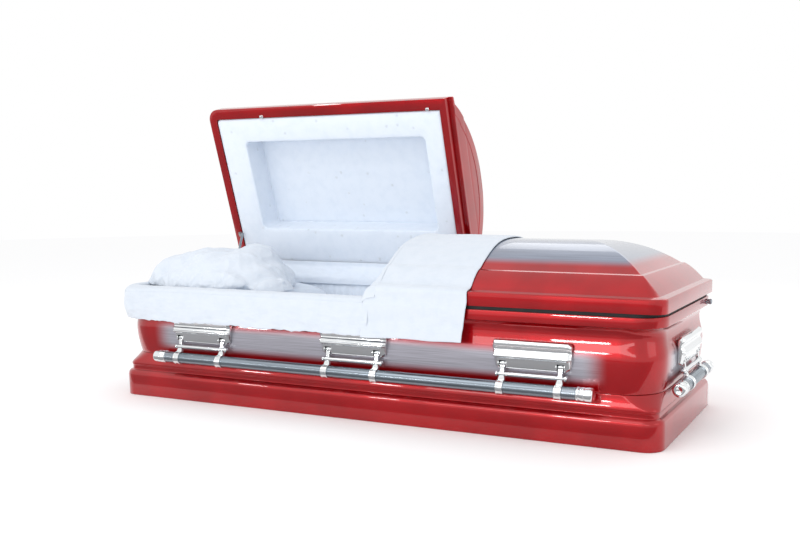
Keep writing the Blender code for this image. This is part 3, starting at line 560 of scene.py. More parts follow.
def place_piece(piece, name, body, material, nodes=()):
    """Names a finished piece, paints it and hangs it on its body."""
    piece.name = name
    piece.data.name = name
    piece.data.materials.clear()
    piece.data.materials.append(material)
    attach(piece, body)
    if nodes:
        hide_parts(*nodes)
    return piece


def join_pieces(pieces):
    """Joins pieces into the first of them."""
    deselect()
    for piece in pieces:
        piece.select_set(True)
    bpy.context.view_layer.objects.active = pieces[0]
    bpy.ops.object.join()
    return bpy.context.object


def copy_of(piece):
    """A copy with a mesh of its own."""
    made = piece.copy()
    made.data = piece.data.copy()
    bpy.context.scene.collection.objects.link(made)
    return made


def turned(profile, sides=None):
    """A shape spun round the X axis from (place along it, radius) points."""
    points = [(along, 0, radius) for along, radius in profile]
    start_point(points[0])
    draw_through(points)
    bpy.ops.mesh.select_all(action="SELECT")
    bpy.ops.mesh.spin(steps=sides or handles().round_sides, angle=2 * pi, center=(0, 0, 0), axis=(1, 0, 0))
    bpy.ops.mesh.select_all(action="SELECT")
    bpy.ops.mesh.remove_doubles(threshold=WELD)
    bpy.ops.mesh.normals_make_consistent(inside=False)
    piece = leave_edit()
    smooth_by_angle(piece, 42)
    return piece


def shift_mesh(piece, matrix):
    """Moves the mesh and leaves the object's origin where it is."""
    piece.data.transform(matrix)
    piece.data.update()
    return piece


def shares(steps, first=1):
    """Equal steps up to 1."""
    return [step / steps for step in range(first, steps + 1)]


def ramp(value, start, end):
    """0 at start and 1 at end, held outside them."""
    return min(1.0, max(0.0, (value - start) / (end - start)))


def smooth(share):
    return share * share * (3 - 2 * share)


# Box

def box_level(inset, radius, z, end_inset=None):
    end_inset = inset if end_inset is None else end_inset
    half_x, half_y = BASE_HIGH.x - end_inset, BASE_HIGH.y - inset
    return Level(-half_x, half_x, -half_y, half_y, radius, radius, z)


def bevel(piece, width, segments, angle):
    """Rounds the edges that are sharper than an angle in degrees."""
    apply_modifier(piece, "BEVEL", width=width, segments=segments, limit_method="ANGLE",
                   angle_limit=radians(angle))


def soften_and_wall(piece, centre, edge_round, angle=24):
    """Rounds a skin's folds and gives it the thickness of the sheet metal."""
    merge_points()
    turn_away_from(piece, centre)
    bevel(piece, edge_round, 3, angle)
    apply_modifier(piece, "SOLIDIFY", thickness=metal().sheet, offset=-1.0)
    smooth_by_angle(piece)
    return piece


class CASKET_OT_base_moulding(bpy.types.Operator):
    """Stepped moulding round the foot of the box"""

    bl_idname = "casket.base_moulding"
    bl_label = "Base Moulding"

    def execute(self, context):
        m = metal()
        step_inset, chamfer, riser, bead, bead_inset, turned_in = 0.0175, 0.020, 0.015, 0.012, 0.0150, 0.035
        riser_z = m.base_face + chamfer
        bead_z = riser_z + riser + bead
        top = BASE_HIGH.z
        levels = [box_level(turned_in, m.base_corner - turned_in * 0.3, BASE_LOW.z),
                  box_level(0, m.base_corner, BASE_LOW.z), box_level(0, m.base_corner, m.base_face)]
        for share in (0.33, 0.67, 1.0):
            inset = step_inset * (1 - cos(share * pi / 2))
            height = m.base_face + chamfer * sin(share * pi / 2)
            levels.append(box_level(inset, m.base_corner - inset, height))
        levels += [
            box_level(step_inset, m.base_corner - step_inset, riser_z + riser),
            box_level(bead_inset, m.base_corner - bead_inset, riser_z + riser + bead * 0.25),
            box_level(bead_inset, m.base_corner - bead_inset, bead_z - bead * 0.25),
        ]
        for share in shares(9):
            inset = bead_inset + (m.waist_inset - bead_inset) * sin(share * pi / 2)
            radius = m.base_corner - bead_inset
            radius += (m.body_corner - radius) * share
            levels.append(box_level(inset, radius, bead_z + (top - bead_z) * share))
        levels.append(box_level(m.waist_inset + 0.012, m.body_corner - 0.012, top))
        piece = soften_and_wall(ring_skin(levels), (0, 0, top / 2), m.edge_round)
        place_piece(piece, "base_moulding_lacquered", "casket",
                    lacquer_finish("lacquer, base", no_silver), ["base_moulding"])
        return {"FINISHED"}


class CASKET_OT_body_shell(bpy.types.Operator):
    """Sides and ends of the box, with the flange and the ledge"""

    bl_idname = "casket.body_shell"
    bl_label = "Body Shell"

    def execute(self, context):
        m = metal()
        bottom, top = SHELL_LOW.z, SHELL_HIGH.z
        belly_z, neck_z, flange_z = bottom + 0.097, bottom + 0.179, bottom + 0.206
        flange_inset = BASE_HIGH.x - SHELL_HIGH.x
        steps = 8
        levels = [box_level(m.waist_inset + 0.012, m.body_corner - 0.012, bottom)]
        for share in shares(steps, 0):
            inset = m.waist_inset + (m.belly_inset - m.waist_inset) * sin(share * pi / 2)
            levels.append(box_level(inset, m.body_corner, bottom + (belly_z - bottom) * share))
        for share in shares(steps):
            inset = m.belly_inset + (m.neck_inset - m.belly_inset) * (1 - cos(share * pi)) / 2
            levels.append(box_level(inset, m.body_corner, belly_z + (neck_z - belly_z) * share))
        for share in shares(steps):
            inset = m.neck_inset + (flange_inset - m.neck_inset) * (1 - cos(share * pi / 2))
            radius = m.body_corner + (m.flange_corner - m.body_corner) * share
            levels.append(box_level(inset, radius, neck_z + (flange_z - neck_z) * sin(share * pi / 2)))
        ledge_corner, ledge_lip = 0.025, 0.015
        levels += [
            box_level(flange_inset, m.flange_corner, top),
            box_level(LEDGE_SIDE, ledge_corner, top, LEDGE_END),
            box_level(LEDGE_SIDE, ledge_corner, top - ledge_lip, LEDGE_END),
        ]
        piece = soften_and_wall(ring_skin(levels), (0, 0, belly_z), m.edge_round)
        place_piece(piece, "body_shell_lacquered", "casket",
                    lacquer_finish("lacquer, body", side_silver), ["body_shell"])
        return {"FINISHED"}


# Lids

SKIRT_INSET, SHOULDER_INSET = 0.004, 0.029


def crown_height(inset):
    """Height of a lid's skin over its rim, at a distance in from the rim."""
    m = metal()
    skirt_rise, shoulder_rise, bulge = 0.0445, 0.0475, 0.004
    step_inset, step_rise = m.crease_inset - 0.012, m.crease_rise - 0.002
    if inset <= SHOULDER_INSET:
        return skirt_rise + (shoulder_rise - skirt_rise) * ramp(inset, SKIRT_INSET, SHOULDER_INSET)
    if inset <= step_inset:
        share = ramp(inset, SHOULDER_INSET, step_inset)
        return shoulder_rise + (step_rise - shoulder_rise) * share + bulge * sin(pi * share)
    if inset <= m.crease_inset:
        return step_rise + (m.crease_rise - step_rise) * ramp(inset, step_inset, m.crease_inset)
    reach = (HALF_LID - inset) / (HALF_LID - m.crease_inset)
    return m.crown_rise - (m.crown_rise - m.crease_rise) * max(reach, 0.0) ** 2.3


def lid_level(side, inset_side, inset_end, cut_x, radius, z):
    """A level of a lid. side is -1 for the head lid and 1 for the foot lid."""
    cut_radius = 0.0022
    half_y = HALF_LID - inset_side
    outer_x = side * (FOOT_LID_HIGH.x - inset_end)
    radius, cut_radius = min(radius, half_y), min(cut_radius, half_y)
    if side < 0:
        return Level(outer_x, cut_x, -half_y, half_y, radius, cut_radius, z)
    return Level(cut_x, outer_x, -half_y, half_y, cut_radius, radius, z)


def lid_skin(side, cut_x, low_cut_x, step_rise):
    m = metal()
    flange_cut_x = low_cut_x + side * 0.028
    inner_corner = m.lid_corner - LEDGE_END
    levels = [
        lid_level(side, LEDGE_SIDE, LEDGE_END, flange_cut_x, inner_corner, RIM_Z + 0.006),
        lid_level(side, LEDGE_SIDE, LEDGE_END, flange_cut_x, inner_corner, RIM_Z),
        lid_level(side, 0, 0, low_cut_x, m.lid_corner, RIM_Z),
    ]
    if step_rise:
        levels += [
            lid_level(side, 0, 0, low_cut_x, m.lid_corner, RIM_Z + step_rise),
            lid_level(side, 0, 0, cut_x, m.lid_corner, RIM_Z + step_rise),
        ]
    insets = [0.0, SKIRT_INSET]
    insets += [SHOULDER_INSET + (m.crease_inset - SHOULDER_INSET) * share for share in shares(6, 0)]
    insets += [m.crease_inset + (HALF_LID - m.crease_inset) * (1 - (1 - share) ** 1.15)
               for share in shares(14)[:-1]]
    insets.append(HALF_LID - 0.0003)
    for inset in insets:
        rise = crown_height(inset) - (0.004 if inset == 0.0 else 0.0)
        radius = max(m.lid_corner - inset * 0.6, 0.004)
        levels.append(lid_level(side, inset, inset, cut_x, radius, RIM_Z + rise))
    piece = ring_skin(levels)
    close_ridge(0)
    shell = soften_and_wall(piece, (side * FOOT_LID_HIGH.x / 2, 0, RIM_Z + 0.1), 0.0016, 20)
    bead = panel_bead(side, cut_x, RIM_Z + step_rise + 0.004)
    return join_pieces([shell, bead])


def panel_bead(side, cut_x, foot_z):
    """The pressed line along a lid's cut end, a border's width inside the lid's outline."""
    bead_width, bead_relief = 0.0045, 0.0016

    def height(y, border):
        reaches = [border * sin(i * pi / 24) for i in range(-12, 13)]
        return RIM_Z + min(crown_height(HALF_LID - abs(y + t)) - sqrt(border ** 2 - t ** 2)
                           for t in reaches if abs(y + t) < HALF_LID)

    def place(u, v):
        border = metal().panel_border + bead_width * v
        y = (2 * u - 1) * (HALF_LID - border)
        z = max(foot_z, height(y, border)) if 0.001 < u < 0.999 else foot_z
        return Vector((cut_x - side * bead_relief * sin(pi * v) + side * 0.0002, y, z))

    bead = cloth_grid(120, 6, place)
    smooth_by_angle(bead, 180)
    return bead


def shut_place_of_head(finish):
    turn = Matrix.Rotation(HEAD_LID_OPEN, 3, "X")
    shift = LID_HINGE - turn @ LID_HINGE
    return finish.stretched((1, 1, 1), location=shift, rotation=(HEAD_LID_OPEN, 0, 0))


def shut_place_of_foot(finish):
    return finish.coordinates


class CASKET_OT_lids(bpy.types.Operator):
    """Both lids: hipped sheet shells with a turned-in rim"""

    bl_idname = "casket.lids"
    bl_label = "Lids"

    def execute(self, context):
        head = shift_mesh(lid_skin(-1, SPLIT_X, SPLIT_X - RABBET_DEPTH, 0.033), OPENING)
        foot = lid_skin(1, FOOT_CUT_X, FOOT_CUT_X, 0.0)
        for piece, end, shut_place, cut_x in ((head, "head", shut_place_of_head, SPLIT_X),
                                              (foot, "foot", shut_place_of_foot, FOOT_CUT_X)):
            # The lids' silver takes a depth of 0.62. This is painted shade that keeps the sky's reflection on
            # their tops from reading too white.
            finish = lacquer_finish(f"lacquer, {end} lid", crown_silver(shut_place, cut_x), 0.62)
            place_piece(piece, end + "_lid_lacquered", end + "_lid", finish, [end + "_lid"])
        return {"FINISHED"}


# Handles

# The bracket's section as (distance out from the box's side, height over the floor) points.
EAR_PROFILE = [
    (0.0006, 0.3050), (0.0080, 0.3160), (0.0150, 0.3155), (0.0205, 0.3120), (0.0238, 0.3060),
    (0.0240, 0.2985), (0.0212, 0.2945), (0.0184, 0.2905), (0.0178, 0.2855), (0.0190, 0.2805),
    (0.0222, 0.2770), (0.0236, 0.2725), (0.0240, 0.2690), (0.0264, 0.2670), (0.0268, 0.2640),
    (0.0262, 0.2612), (0.0222, 0.2596), (0.0204, 0.2570), (0.0158, 0.2310), (0.0130, 0.2245),
    (0.0080, 0.2230), (0.0006, 0.2235),
]
PIVOT_Z = HANDLE_PIVOTS["front_handle"].z
PIVOT_OUT = 0.010


def make_ear():
    """A chromed bracket seen from its pivot: its outline drawn, filled and extruded, its ends drawn in."""
    h = handles()
    half = h.ear_width / 2
    points = [(-half, PIVOT_OUT - out, z - PIVOT_Z) for out, z in EAR_PROFILE]
    start_point(points[0])
    draw_through(points)
    bpy.ops.mesh.select_all(action="SELECT")
    bpy.ops.mesh.edge_face_add()
    chamfer, shoulder = 0.009, 0.007
    for step in (chamfer, shoulder, h.ear_width - 2 * (chamfer + shoulder), shoulder, chamfer):
        extrude((step, 0, 0))
    bpy.ops.mesh.select_all(action="SELECT")
    bpy.ops.mesh.normals_make_consistent(inside=False)
    back = points[0][1]
    heights = [z for _, z in EAR_PROFILE]
    middle_z = (max(heights) + min(heights)) / 2 - PIVOT_Z
    foot_taper = 0.006
    for end in (-1, 1):
        pick(lambda v, end=end: abs(v.co.x - end * half) < 0.001)
        bpy.ops.transform.resize(value=(1, 0.60, 0.84), center_override=(end * half, back, middle_z))
        for reach, below in ((0.012, 0.2600), (0.020, 0.2300)):
            pick(lambda v: v.co.x * end > half - reach and v.co.z < below - PIVOT_Z)
            bpy.ops.transform.translate(value=(-end * foot_taper, 0, 0))
    plate = leave_edit()
    bevel(plate, 0.0011, 2, 24)
    boss_room, notch_top, notch_height = 0.0232, 0.0105, 0.0405
    for arm in (-1, 1):
        block((boss_room, 0.08, notch_height), (arm * h.arm_spacing / 2, 0, notch_top - notch_height / 2))
        notch = leave_edit()
        apply_modifier(plate, "BOOLEAN", operation="DIFFERENCE", object=notch, solver="EXACT")
        bpy.data.objects.remove(notch)
    smooth_by_angle(plate, 42)
    shapes = [plate]
    for arm in (-1, 1):
        for cheek in (-1, 1):
            lug = turned([(0, 0), (0, 0.0090), (0.0006, 0.0098), (0.0030, 0.0098), (0.0040, 0.0086),
                          (0.0040, 0.0056), (0.0034, 0.0046), (0.0034, 0)], 28)
            face_out = Matrix.Rotation(0 if cheek > 0 else pi, 4, "Z")
            place = Matrix.Translation((arm * h.arm_spacing / 2 + cheek * boss_room / 2, -0.0008, 0))
            shapes.append(shift_mesh(lug, place @ face_out))
    return join_pieces(shapes)


def make_arm():
    """One arm of a bail: a block drawn in at its waist and flared at its foot, leaning out to the bar."""
    h = handles()
    foot = sqrt(h.bar_drop ** 2 + h.bar_stand_out ** 2) - h.collar_radius + 0.004
    rows = ((1.0, 0.9), (1.05, 0.9), (0.80, 0.8), (0.76, 0.8), (0.95, 0.9), (1.25, 1.0), (1.50, 1.3))
    block((0.016, 0.0125, foot), (0, 0, -foot / 2), cuts=len(rows) - 2)
    for row, (wide, deep) in enumerate(rows):
        z = -foot * row / (len(rows) - 1)
        pick(lambda v: abs(v.co.z - z) < foot / 20)
        bpy.ops.transform.resize(value=(wide, deep, 1), center_override=(0, 0, z))
    arm = leave_edit()
    apply_modifier(arm, "SUBSURF", levels=2, render_levels=2)
    smooth_by_angle(arm, 60)
    return shift_mesh(arm, arm_lean())


def arm_lean():
    """The turn that leans an arm from straight down out to the bar."""
    return Matrix.Rotation(-atan2(handles().bar_stand_out, handles().bar_drop), 4, "X")


def make_collar():
    """The ring that grips the bar, with a raised rim on each side and a set screw in front."""
    h = handles()
    inner, outer, half = h.bar_radius + 0.0002, h.collar_radius, 0.012
    ring = turned([(-half, inner), (-half, outer - 0.001), (-half + 0.001, outer), (-half + 0.004, outer),
                   (-half + 0.0052, outer - 0.0012), (half - 0.0052, outer - 0.0012), (half - 0.004, outer),
                   (half - 0.001, outer), (half, outer - 0.001), (half, inner), (-half, inner)])
    screw = turned([(0.0, 0.0), (0.0, 0.0014), (0.0006, 0.0030), (0.0012, 0.0030), (0.0012, 0.0)], 16)
    shift_mesh(screw, Matrix.Translation((0, -outer + 0.0004, 0)) @ Matrix.Rotation(-pi / 2, 4, "Z"))
    return join_pieces([ring, screw])


def mirrored_turned(half):
    """A turned shape whose profile is given from its middle to one end."""
    return turned([(-along, radius) for along, radius in reversed(half)] + half[1:])


def make_bail():
    """Two arms with their knobs and collars and the cross rod, seen from the pivot."""
    h = handles()
    shapes = []
    arm, collar = make_arm(), make_collar()
    boss = 0.0108
    knob = mirrored_turned([(0.0, h.knob_radius), (boss - 0.0040, h.knob_radius - 0.0008),
                            (boss - 0.0016, 0.0068), (boss, 0.0050), (boss, 0.0)])
    for side in (-1, 1):
        x = side * h.arm_spacing / 2
        places = ((x, 0, 0), (x, -h.bar_stand_out, -h.bar_drop), (x, 0, 0))
        for shape, place in zip((arm, collar, knob), places):
            shapes.append(shift_mesh(copy_of(shape), Matrix.Translation(place)))
    for template in (arm, collar, knob):
        bpy.data.objects.remove(template)
    reach, r = h.arm_spacing / 2 + 0.0238, h.cross_rod_radius
    half_rod = [(0.0, r), (h.arm_spacing / 2 - 0.010, r), (h.arm_spacing / 2 - 0.0085, r + 0.0022),
                (h.arm_spacing / 2 + 0.0085, r + 0.0022), (h.arm_spacing / 2 + 0.010, r - 0.001),
                (reach - 0.0105, r - 0.002), (reach - 0.0085, r + 0.0016), (reach - 0.0045, r + 0.0022),
                (reach - 0.0010, r), (reach, r - 0.0035), (reach, 0.0)]
    rod = mirrored_turned(half_rod)
    shapes.append(shift_mesh(rod, arm_lean() @ Matrix.Translation((0, 0, -h.cross_rod_drop))))
    return join_pieces(shapes)


def make_tip(length):
    """A turned tip along +X, with a groove round its middle."""
    r = 0.0230
    profile = [(0.0, 0.0), (0.0, r - 0.0025), (0.0012, r - 0.0008), (0.003, r), (0.0075, r),
               (0.0095, r - 0.0022), (0.0115, r - 0.0004), (0.026, r), (0.0275, r - 0.0018),
               (0.0295, r - 0.0018), (0.031, r)]
    end_round = 0.0085
    for angle in (pi / 2 * (1 - share) for share in shares(7, 0)):
        profile.append((length - end_round * (1 - cos(angle)), r - end_round * (1 - sin(angle))))
    profile += [(length, 0.0095), (length - 0.0016, 0.0075), (length - 0.0016, 0.0)]
    return turned(profile)


class CASKET_OT_handles(bpy.types.Operator):
    """Ears, bails, bars and tips of all four sides"""

    bl_idname = "casket.handles"
    bl_label = "Handles"

    def execute(self, context):
        h = handles()
        chrome = chrome_finish()
        ear_low, ear_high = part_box("front_ear_3")
        tip_low, tip_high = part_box("front_tip_2")
        templates = {"ear": make_ear(), "bail": make_bail(), "tip": make_tip(tip_high.x - tip_low.x)}
        ear_spacing = (ear_low.x + ear_high.x) / 2
        on_sides = ((-ear_spacing, 0.0, ear_spacing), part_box("front_bar")[1].x)
        on_ends = ((0.0,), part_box("foot_bar")[1].y)
        sides = {
            "front": (0.0, *on_sides), "back": (pi, *on_sides),
            "foot": (pi / 2, *on_ends), "head": (-pi / 2, *on_ends),
        }
        for side, (turn, places, half_bar) in sides.items():
            handle = side + "_handle"
            spot = Matrix.Translation(HANDLE_PIVOTS[handle]) @ Matrix.Rotation(turn, 4, "Z")
            for number, along in enumerate(places, 1):
                label = f"_{number}" if len(places) > 1 else ""
                for kind, body in (("ear", "casket"), ("bail", handle)):
                    piece = shift_mesh(copy_of(templates[kind]), spot @ Matrix.Translation((along, 0, 0)))
                    node = f"{side}_{kind}{label}"
                    place_piece(piece, node + "_chrome", body, chrome, [node])
            axis = spot @ Matrix.Translation((0, -h.bar_stand_out, -h.bar_drop))
            r = h.bar_radius
            chamfer = 0.001
            profile = [(half_bar - chamfer, r), (half_bar, r - chamfer), (half_bar, 0.0)]
            bar = turned([(-along, radius) for along, radius in reversed(profile)] + profile)
            node = side + "_bar"
            place_piece(shift_mesh(bar, axis), node + "_brushed", handle,
                        bar_finish(side + " bar", turn in (0.0, pi)), [node])
            for number, direction in ((1, -1), (2, 1)):
                flip = Matrix.Rotation(0 if direction > 0 else pi, 4, "Z")
                place = axis @ Matrix.Translation((direction * (half_bar + 0.0003), 0, 0)) @ flip
                tip = shift_mesh(copy_of(templates["tip"]), place)
                node = f"{side}_tip_{number}"
                place_piece(tip, node + "_chrome", handle, chrome, [node])
        for template in templates.values():
            bpy.data.objects.remove(template)
        return {"FINISHED"}


class CASKET_OT_fittings(bpy.types.Operator):
    """Hinges, stay, studs, gasket, lock port cap, bottom pan and the foot lid's lip"""

    bl_idname = "casket.fittings"
    bl_label = "Fittings"

    def execute(self, context):
        steel, chrome = steel_finish(), chrome_finish()
        plain = lacquer_finish("lacquer, folded parts", no_silver)
        finishes = (
            (steel, ("head_hinge_box_leaf", "head_hinge_lid_leaf", "foot_hinge_box_leaf",
                     "foot_hinge_lid_leaf", "lid_stay", "lid_stay_bracket")),
            (rubber_finish(), ("lid_gasket",)),
            (plain, ("bottom_pan", "foot_lid_lip")),
        )
        for material, nodes in finishes:
            for node in nodes:
                shown = frame["nodes"][node]
                shown.data.materials.clear()
                shown.data.materials.append(material)
        for number in (1, 2):
            node = f"latch_stud_{number}"
            low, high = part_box(node)
            stud = turned([(-0.0045, 0.0), (-0.0045, 0.0046), (-0.0036, 0.0063), (-0.0018, 0.0065),
                           (-0.0010, 0.0050), (0.0020, 0.0042), (0.0045, 0.0060), (0.0045, 0.0)])
            place = Matrix.Translation((low + high) / 2) @ Matrix.Rotation(-HEAD_LID_OPEN, 4, "X")
            shift_mesh(stud, place @ Matrix.Rotation(-pi / 2, 4, "Y"))
            place_piece(stud, node + "_chrome", "head_lid", chrome, [node])
        low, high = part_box("lock_port_cap")
        half, r = (high.x - low.x) / 2, (high.z - low.z) / 2
        cap = turned([(-half, 0.0), (-half, r), (-half + 0.003, r), (-half + 0.0042, r - 0.0016),
                      (half - 0.009, r - 0.0016), (half - 0.008, r - 0.0004), (half - 0.002, r - 0.0004),
                      (half, r - 0.0026), (half, 0.004), (half - 0.002, 0.0028), (half - 0.002, 0.0)])
        shift_mesh(cap, Matrix.Translation((low + high) / 2))
        dark = bar_finish("port cap", False)
        place_piece(cap, "lock_port_cap_turned", "casket", dark, ["lock_port_cap"])
        return {"FINISHED"}


# Cloth

def cloth_grid(columns, rows, place):
    """A grid of cloth whose points are placed by place(u, v), both from 0 to 1."""
    deselect()
    bpy.ops.mesh.primitive_grid_add(x_subdivisions=columns, y_subdivisions=rows, size=1)
    piece = bpy.context.object
    for vertex in piece.data.vertices:
        vertex.co = place(vertex.co.x + 0.5, vertex.co.y + 0.5)
    return piece


def lumps(place, scale, seed=0.0):
    """Smooth noise from about -1 to 1."""
    return noise.noise(Vector(place) * scale + Vector((seed, seed * 0.7, -seed)))


def along_path(points, share):
    """The point at a share of an open path's length."""
    lengths = [(Vector(b) - Vector(a)).length for a, b in zip(points, points[1:])]
    left = share * sum(lengths)
    for (a, b), length in zip(zip(points, points[1:]), lengths):
        if left <= length or (a, b) == (points[-2], points[-1]):
            return Vector(a).lerp(Vector(b), min(left / max(length, 1e-9), 1.0))
        left -= length


def rim_path(outward, end_x, end_y):
    """Round the front and the head end of the box, a distance out from its flange."""
    m = metal()
    radius = max(m.flange_corner + outward, 0.02)
    front_y = -(BASE_HIGH.y + outward)
    head_x = -(BASE_HIGH.x + outward)
    points = [(end_x, front_y, 0)]
    for share in shares(16, 0):
        angle = (3 - share) * pi / 2
        points.append((head_x + radius + radius * cos(angle), front_y + radius + radius * sin(angle), 0))
    points.append((head_x, end_y, 0))
    return points


def place_cloth(piece, name, body, nodes, crinkle, sprigs=False, painted_fill_light=1.0):
    """Places a finished piece of cloth, with a cloth material of its own, lightened by painted fill light
    where the piece sits in shade.
    """
    finish = cloth_finish(name + " cloth", crinkle, sprigs, painted_fill_light)
    place_piece(piece, name, body, finish, nodes)


def finish_cloth(piece, name, body, nodes, thickness=None, painted_fill_light=1.0):
    """Gives a sheet its thickness and places it."""
    apply_modifier(piece, "SOLIDIFY", thickness=thickness or cloth().thickness, offset=0.0,
                   use_even_offset=True)
    refine(piece, 80)
    place_cloth(piece, name, body, nodes, 0.5, painted_fill_light=painted_fill_light)


def refine(piece, degrees=180):
    """Rounds soft cloth by subdivision."""
    apply_modifier(piece, "SUBSURF", levels=1, render_levels=1)
    smooth_by_angle(piece, degrees)


def two_folds(first, first_scale, first_seed, second, second_scale, second_seed):
    """Broad folds with folds of half their height over them."""
    return lumps(first, first_scale, first_seed) + 0.5 * lumps(second, second_scale, second_seed)


class CASKET_OT_overlay(bpy.types.Operator):
    """The cloth over the front ledge and round the head end: a lap on the ledge and a skirt below it"""

    bl_idname = "casket.overlay"
    bl_label = "Overlay"

    def execute(self, context):
        c = cloth()
        end_x = SPLIT_X - RABBET_DEPTH - c.gap
        end_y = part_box("overlay")[1].y - 0.004
        over = LEDGE_Z + 0.0175
        rim_run, corner_at, corner_spread = 1.9, 1.27, 0.16
        stay_x, stay_front, stay_back, stay_room = -0.98, -0.12, -0.06, 0.34
        section = [(-0.0500, 0.388), (-0.0490, over - 0.008), (-0.0440, over - 0.001),
                   (-0.0300, over + 0.003), (-0.0120, over + 0.002), (0.0010, over - 0.003),
                   (0.0080, over - 0.012), (c.hem_flare * 0.60, 0.372), (c.hem_flare * 0.85, 0.335),
                   (c.hem_flare, c.hem_z)]
        lengths = [dist(a, b) for a, b in zip(section, section[1:])]
        lap_share = sum(lengths[:6]) / sum(lengths)
        path = [(out, z, 0) for out, z in section]

        def place(u, v, tuck=0.0):
            point = along_path(path, v)
            spot = along_path(rim_path(point.x, end_x, end_y), u)
            if spot.x < stay_x:
                narrow = max(point.x, point.x * (1 - stay_room * ramp(spot.y, stay_front, stay_back)))
                spot = along_path(rim_path(narrow, end_x, end_y), u)
            arc = u * rim_run
            hang = ramp(v, 0.45, 1.0)
            depth = c.fold_depth * (0.35 + hang)
            folds = two_folds((arc, v * 0.55, 0), 9.0, 0.0, (arc, v * 1.6, 0), 21.0, 3.1)
            folds += 0.35 * lumps((arc * 1.4, v * 4.0, 0), 17.0, 8.0)
            if spot.y > -0.25 and spot.x < -1.0:
                outward = Vector((-1, 0, 0))
            elif spot.x < -0.95:
                outward = Vector((spot.x + BASE_HIGH.x - 0.12, spot.y, 0)).normalized()
            else:
                outward = Vector((0, -1, 0))
            if hang > 0:
                spot += outward * depth * folds
                height = point.y + 0.006 * hang * lumps((arc, 0, 0), 6.0, 5.0)
            else:
                height = point.y + depth * 0.6 * folds
            ragged = 0.0050 * lumps((arc, 0, 0), 30.0, 4.0) + 0.0030 * lumps((arc, 0, 0), 75.0, 6.0)
            height += ramp(v, 0.9, 1.0) * ragged
            corner = exp(-((arc - corner_at) / corner_spread) ** 2)
            spot -= outward * corner * (0.010 * min(1.0, hang * 2) + 0.020 * max(0.0, hang - 0.45) ** 2 / 0.3)
            height -= 0.007 * corner * ramp(abs(v - 0.42), 0.25, 0.0)
            if v > lap_share and tuck:
                spot -= outward * tuck
                height -= tuck * 0.6
            return Vector((spot.x, spot.y, height))

        overlap = 0.035
        lap = cloth_grid(200, 14, lambda u, v: place(u, v * (lap_share + overlap), 0.0022))
        finish_cloth(lap, "overlay_draped", "casket", ["overlay"])
        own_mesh(lap)
        skirt = cloth_grid(230, 18, lambda u, v: place(u, lap_share + (1 - lap_share) * v))
        finish_cloth(skirt, "overlay_skirt", "casket", [])
        return {"FINISHED"}


def throw_path(c):
    """Across the foot lid from the front hem to behind the crown, as (y, z) points."""
    lift = c.gap + c.thickness / 2 + 0.0008
    face = HALF_LID + lift
    points = [(-(BASE_HIGH.y + c.hem_flare + 0.004), c.hem_z - 0.003), (-(BASE_HIGH.y + 0.016), 0.345),
              (-(face + 0.008), LEDGE_Z), (-face, RIM_Z + 0.012), (-face, RIM_Z + 0.036),
              (-(face - 0.003), RIM_Z + 0.0465)]
    insets = (0.012, 0.024, 0.036, 0.052, 0.068, 0.084, 0.101, 0.120, 0.145, 0.175, 0.21, 0.25, 0.29, 0.33,
              0.365)
    places = [inset - HALF_LID for inset in insets] + [0.04, 0.08, 0.105]
    return points + [(y, RIM_Z + crown_height(HALF_LID - abs(y)) + lift) for y in places]


class CASKET_OT_foot_throw(bpy.types.Operator):
    """The cloth over the foot lid, hanging down in front"""

    bl_idname = "casket.foot_throw"
    bl_label = "Foot Throw"

    def execute(self, context):
        c = cloth()
        low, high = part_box("foot_throw")
        path = [(y, z, 0) for y, z in throw_path(c)]
        left_spread, right_inset, lid_lift = 0.046, 0.036, 0.0016

        def place(u, v):
            point = along_path(path, v)
            y, z = point.x, point.y
            in_front = y < -0.3
            hang = in_front * ramp(z, LEDGE_Z + 0.01, LEDGE_Z - 0.08)
            left = low.x - left_spread * in_front * ramp(z, RIM_Z + 0.030, RIM_Z)
            right = high.x - right_inset - 0.008 * hang + 0.004 * lumps((0, v, 0), 6.0, 2.0)
            x = left + (right - left) * u
            on_lid = 1.0 - min(1.0, hang * 2)
            fold = two_folds((x, v * 1.6, 0), 10.0, 4.0, (x * 1.3, v * 3.2, 0), 16.0, 7.0)
            lift = lid_lift * on_lid * (fold + 0.9) + c.fold_depth * hang * fold
            edge = exp(-u / 0.05) * 0.003 - exp(-(1 - u) / 0.012) * 0.0016
            lift *= ramp(u, 1.0, 0.94)
            if y < -0.36:
                y -= max(lift, -0.003) + edge * 0.4
                z += 0.005 * hang * lumps((x, 0, 0), 7.0, 9.0)
            else:
                z += max(lift, 0.0) + edge
            return Vector((x, y, z))

        piece = cloth_grid(92, 104, place)
        finish_cloth(piece, "foot_throw_draped", "foot_lid", ["foot_throw"])
        return {"FINISHED"}


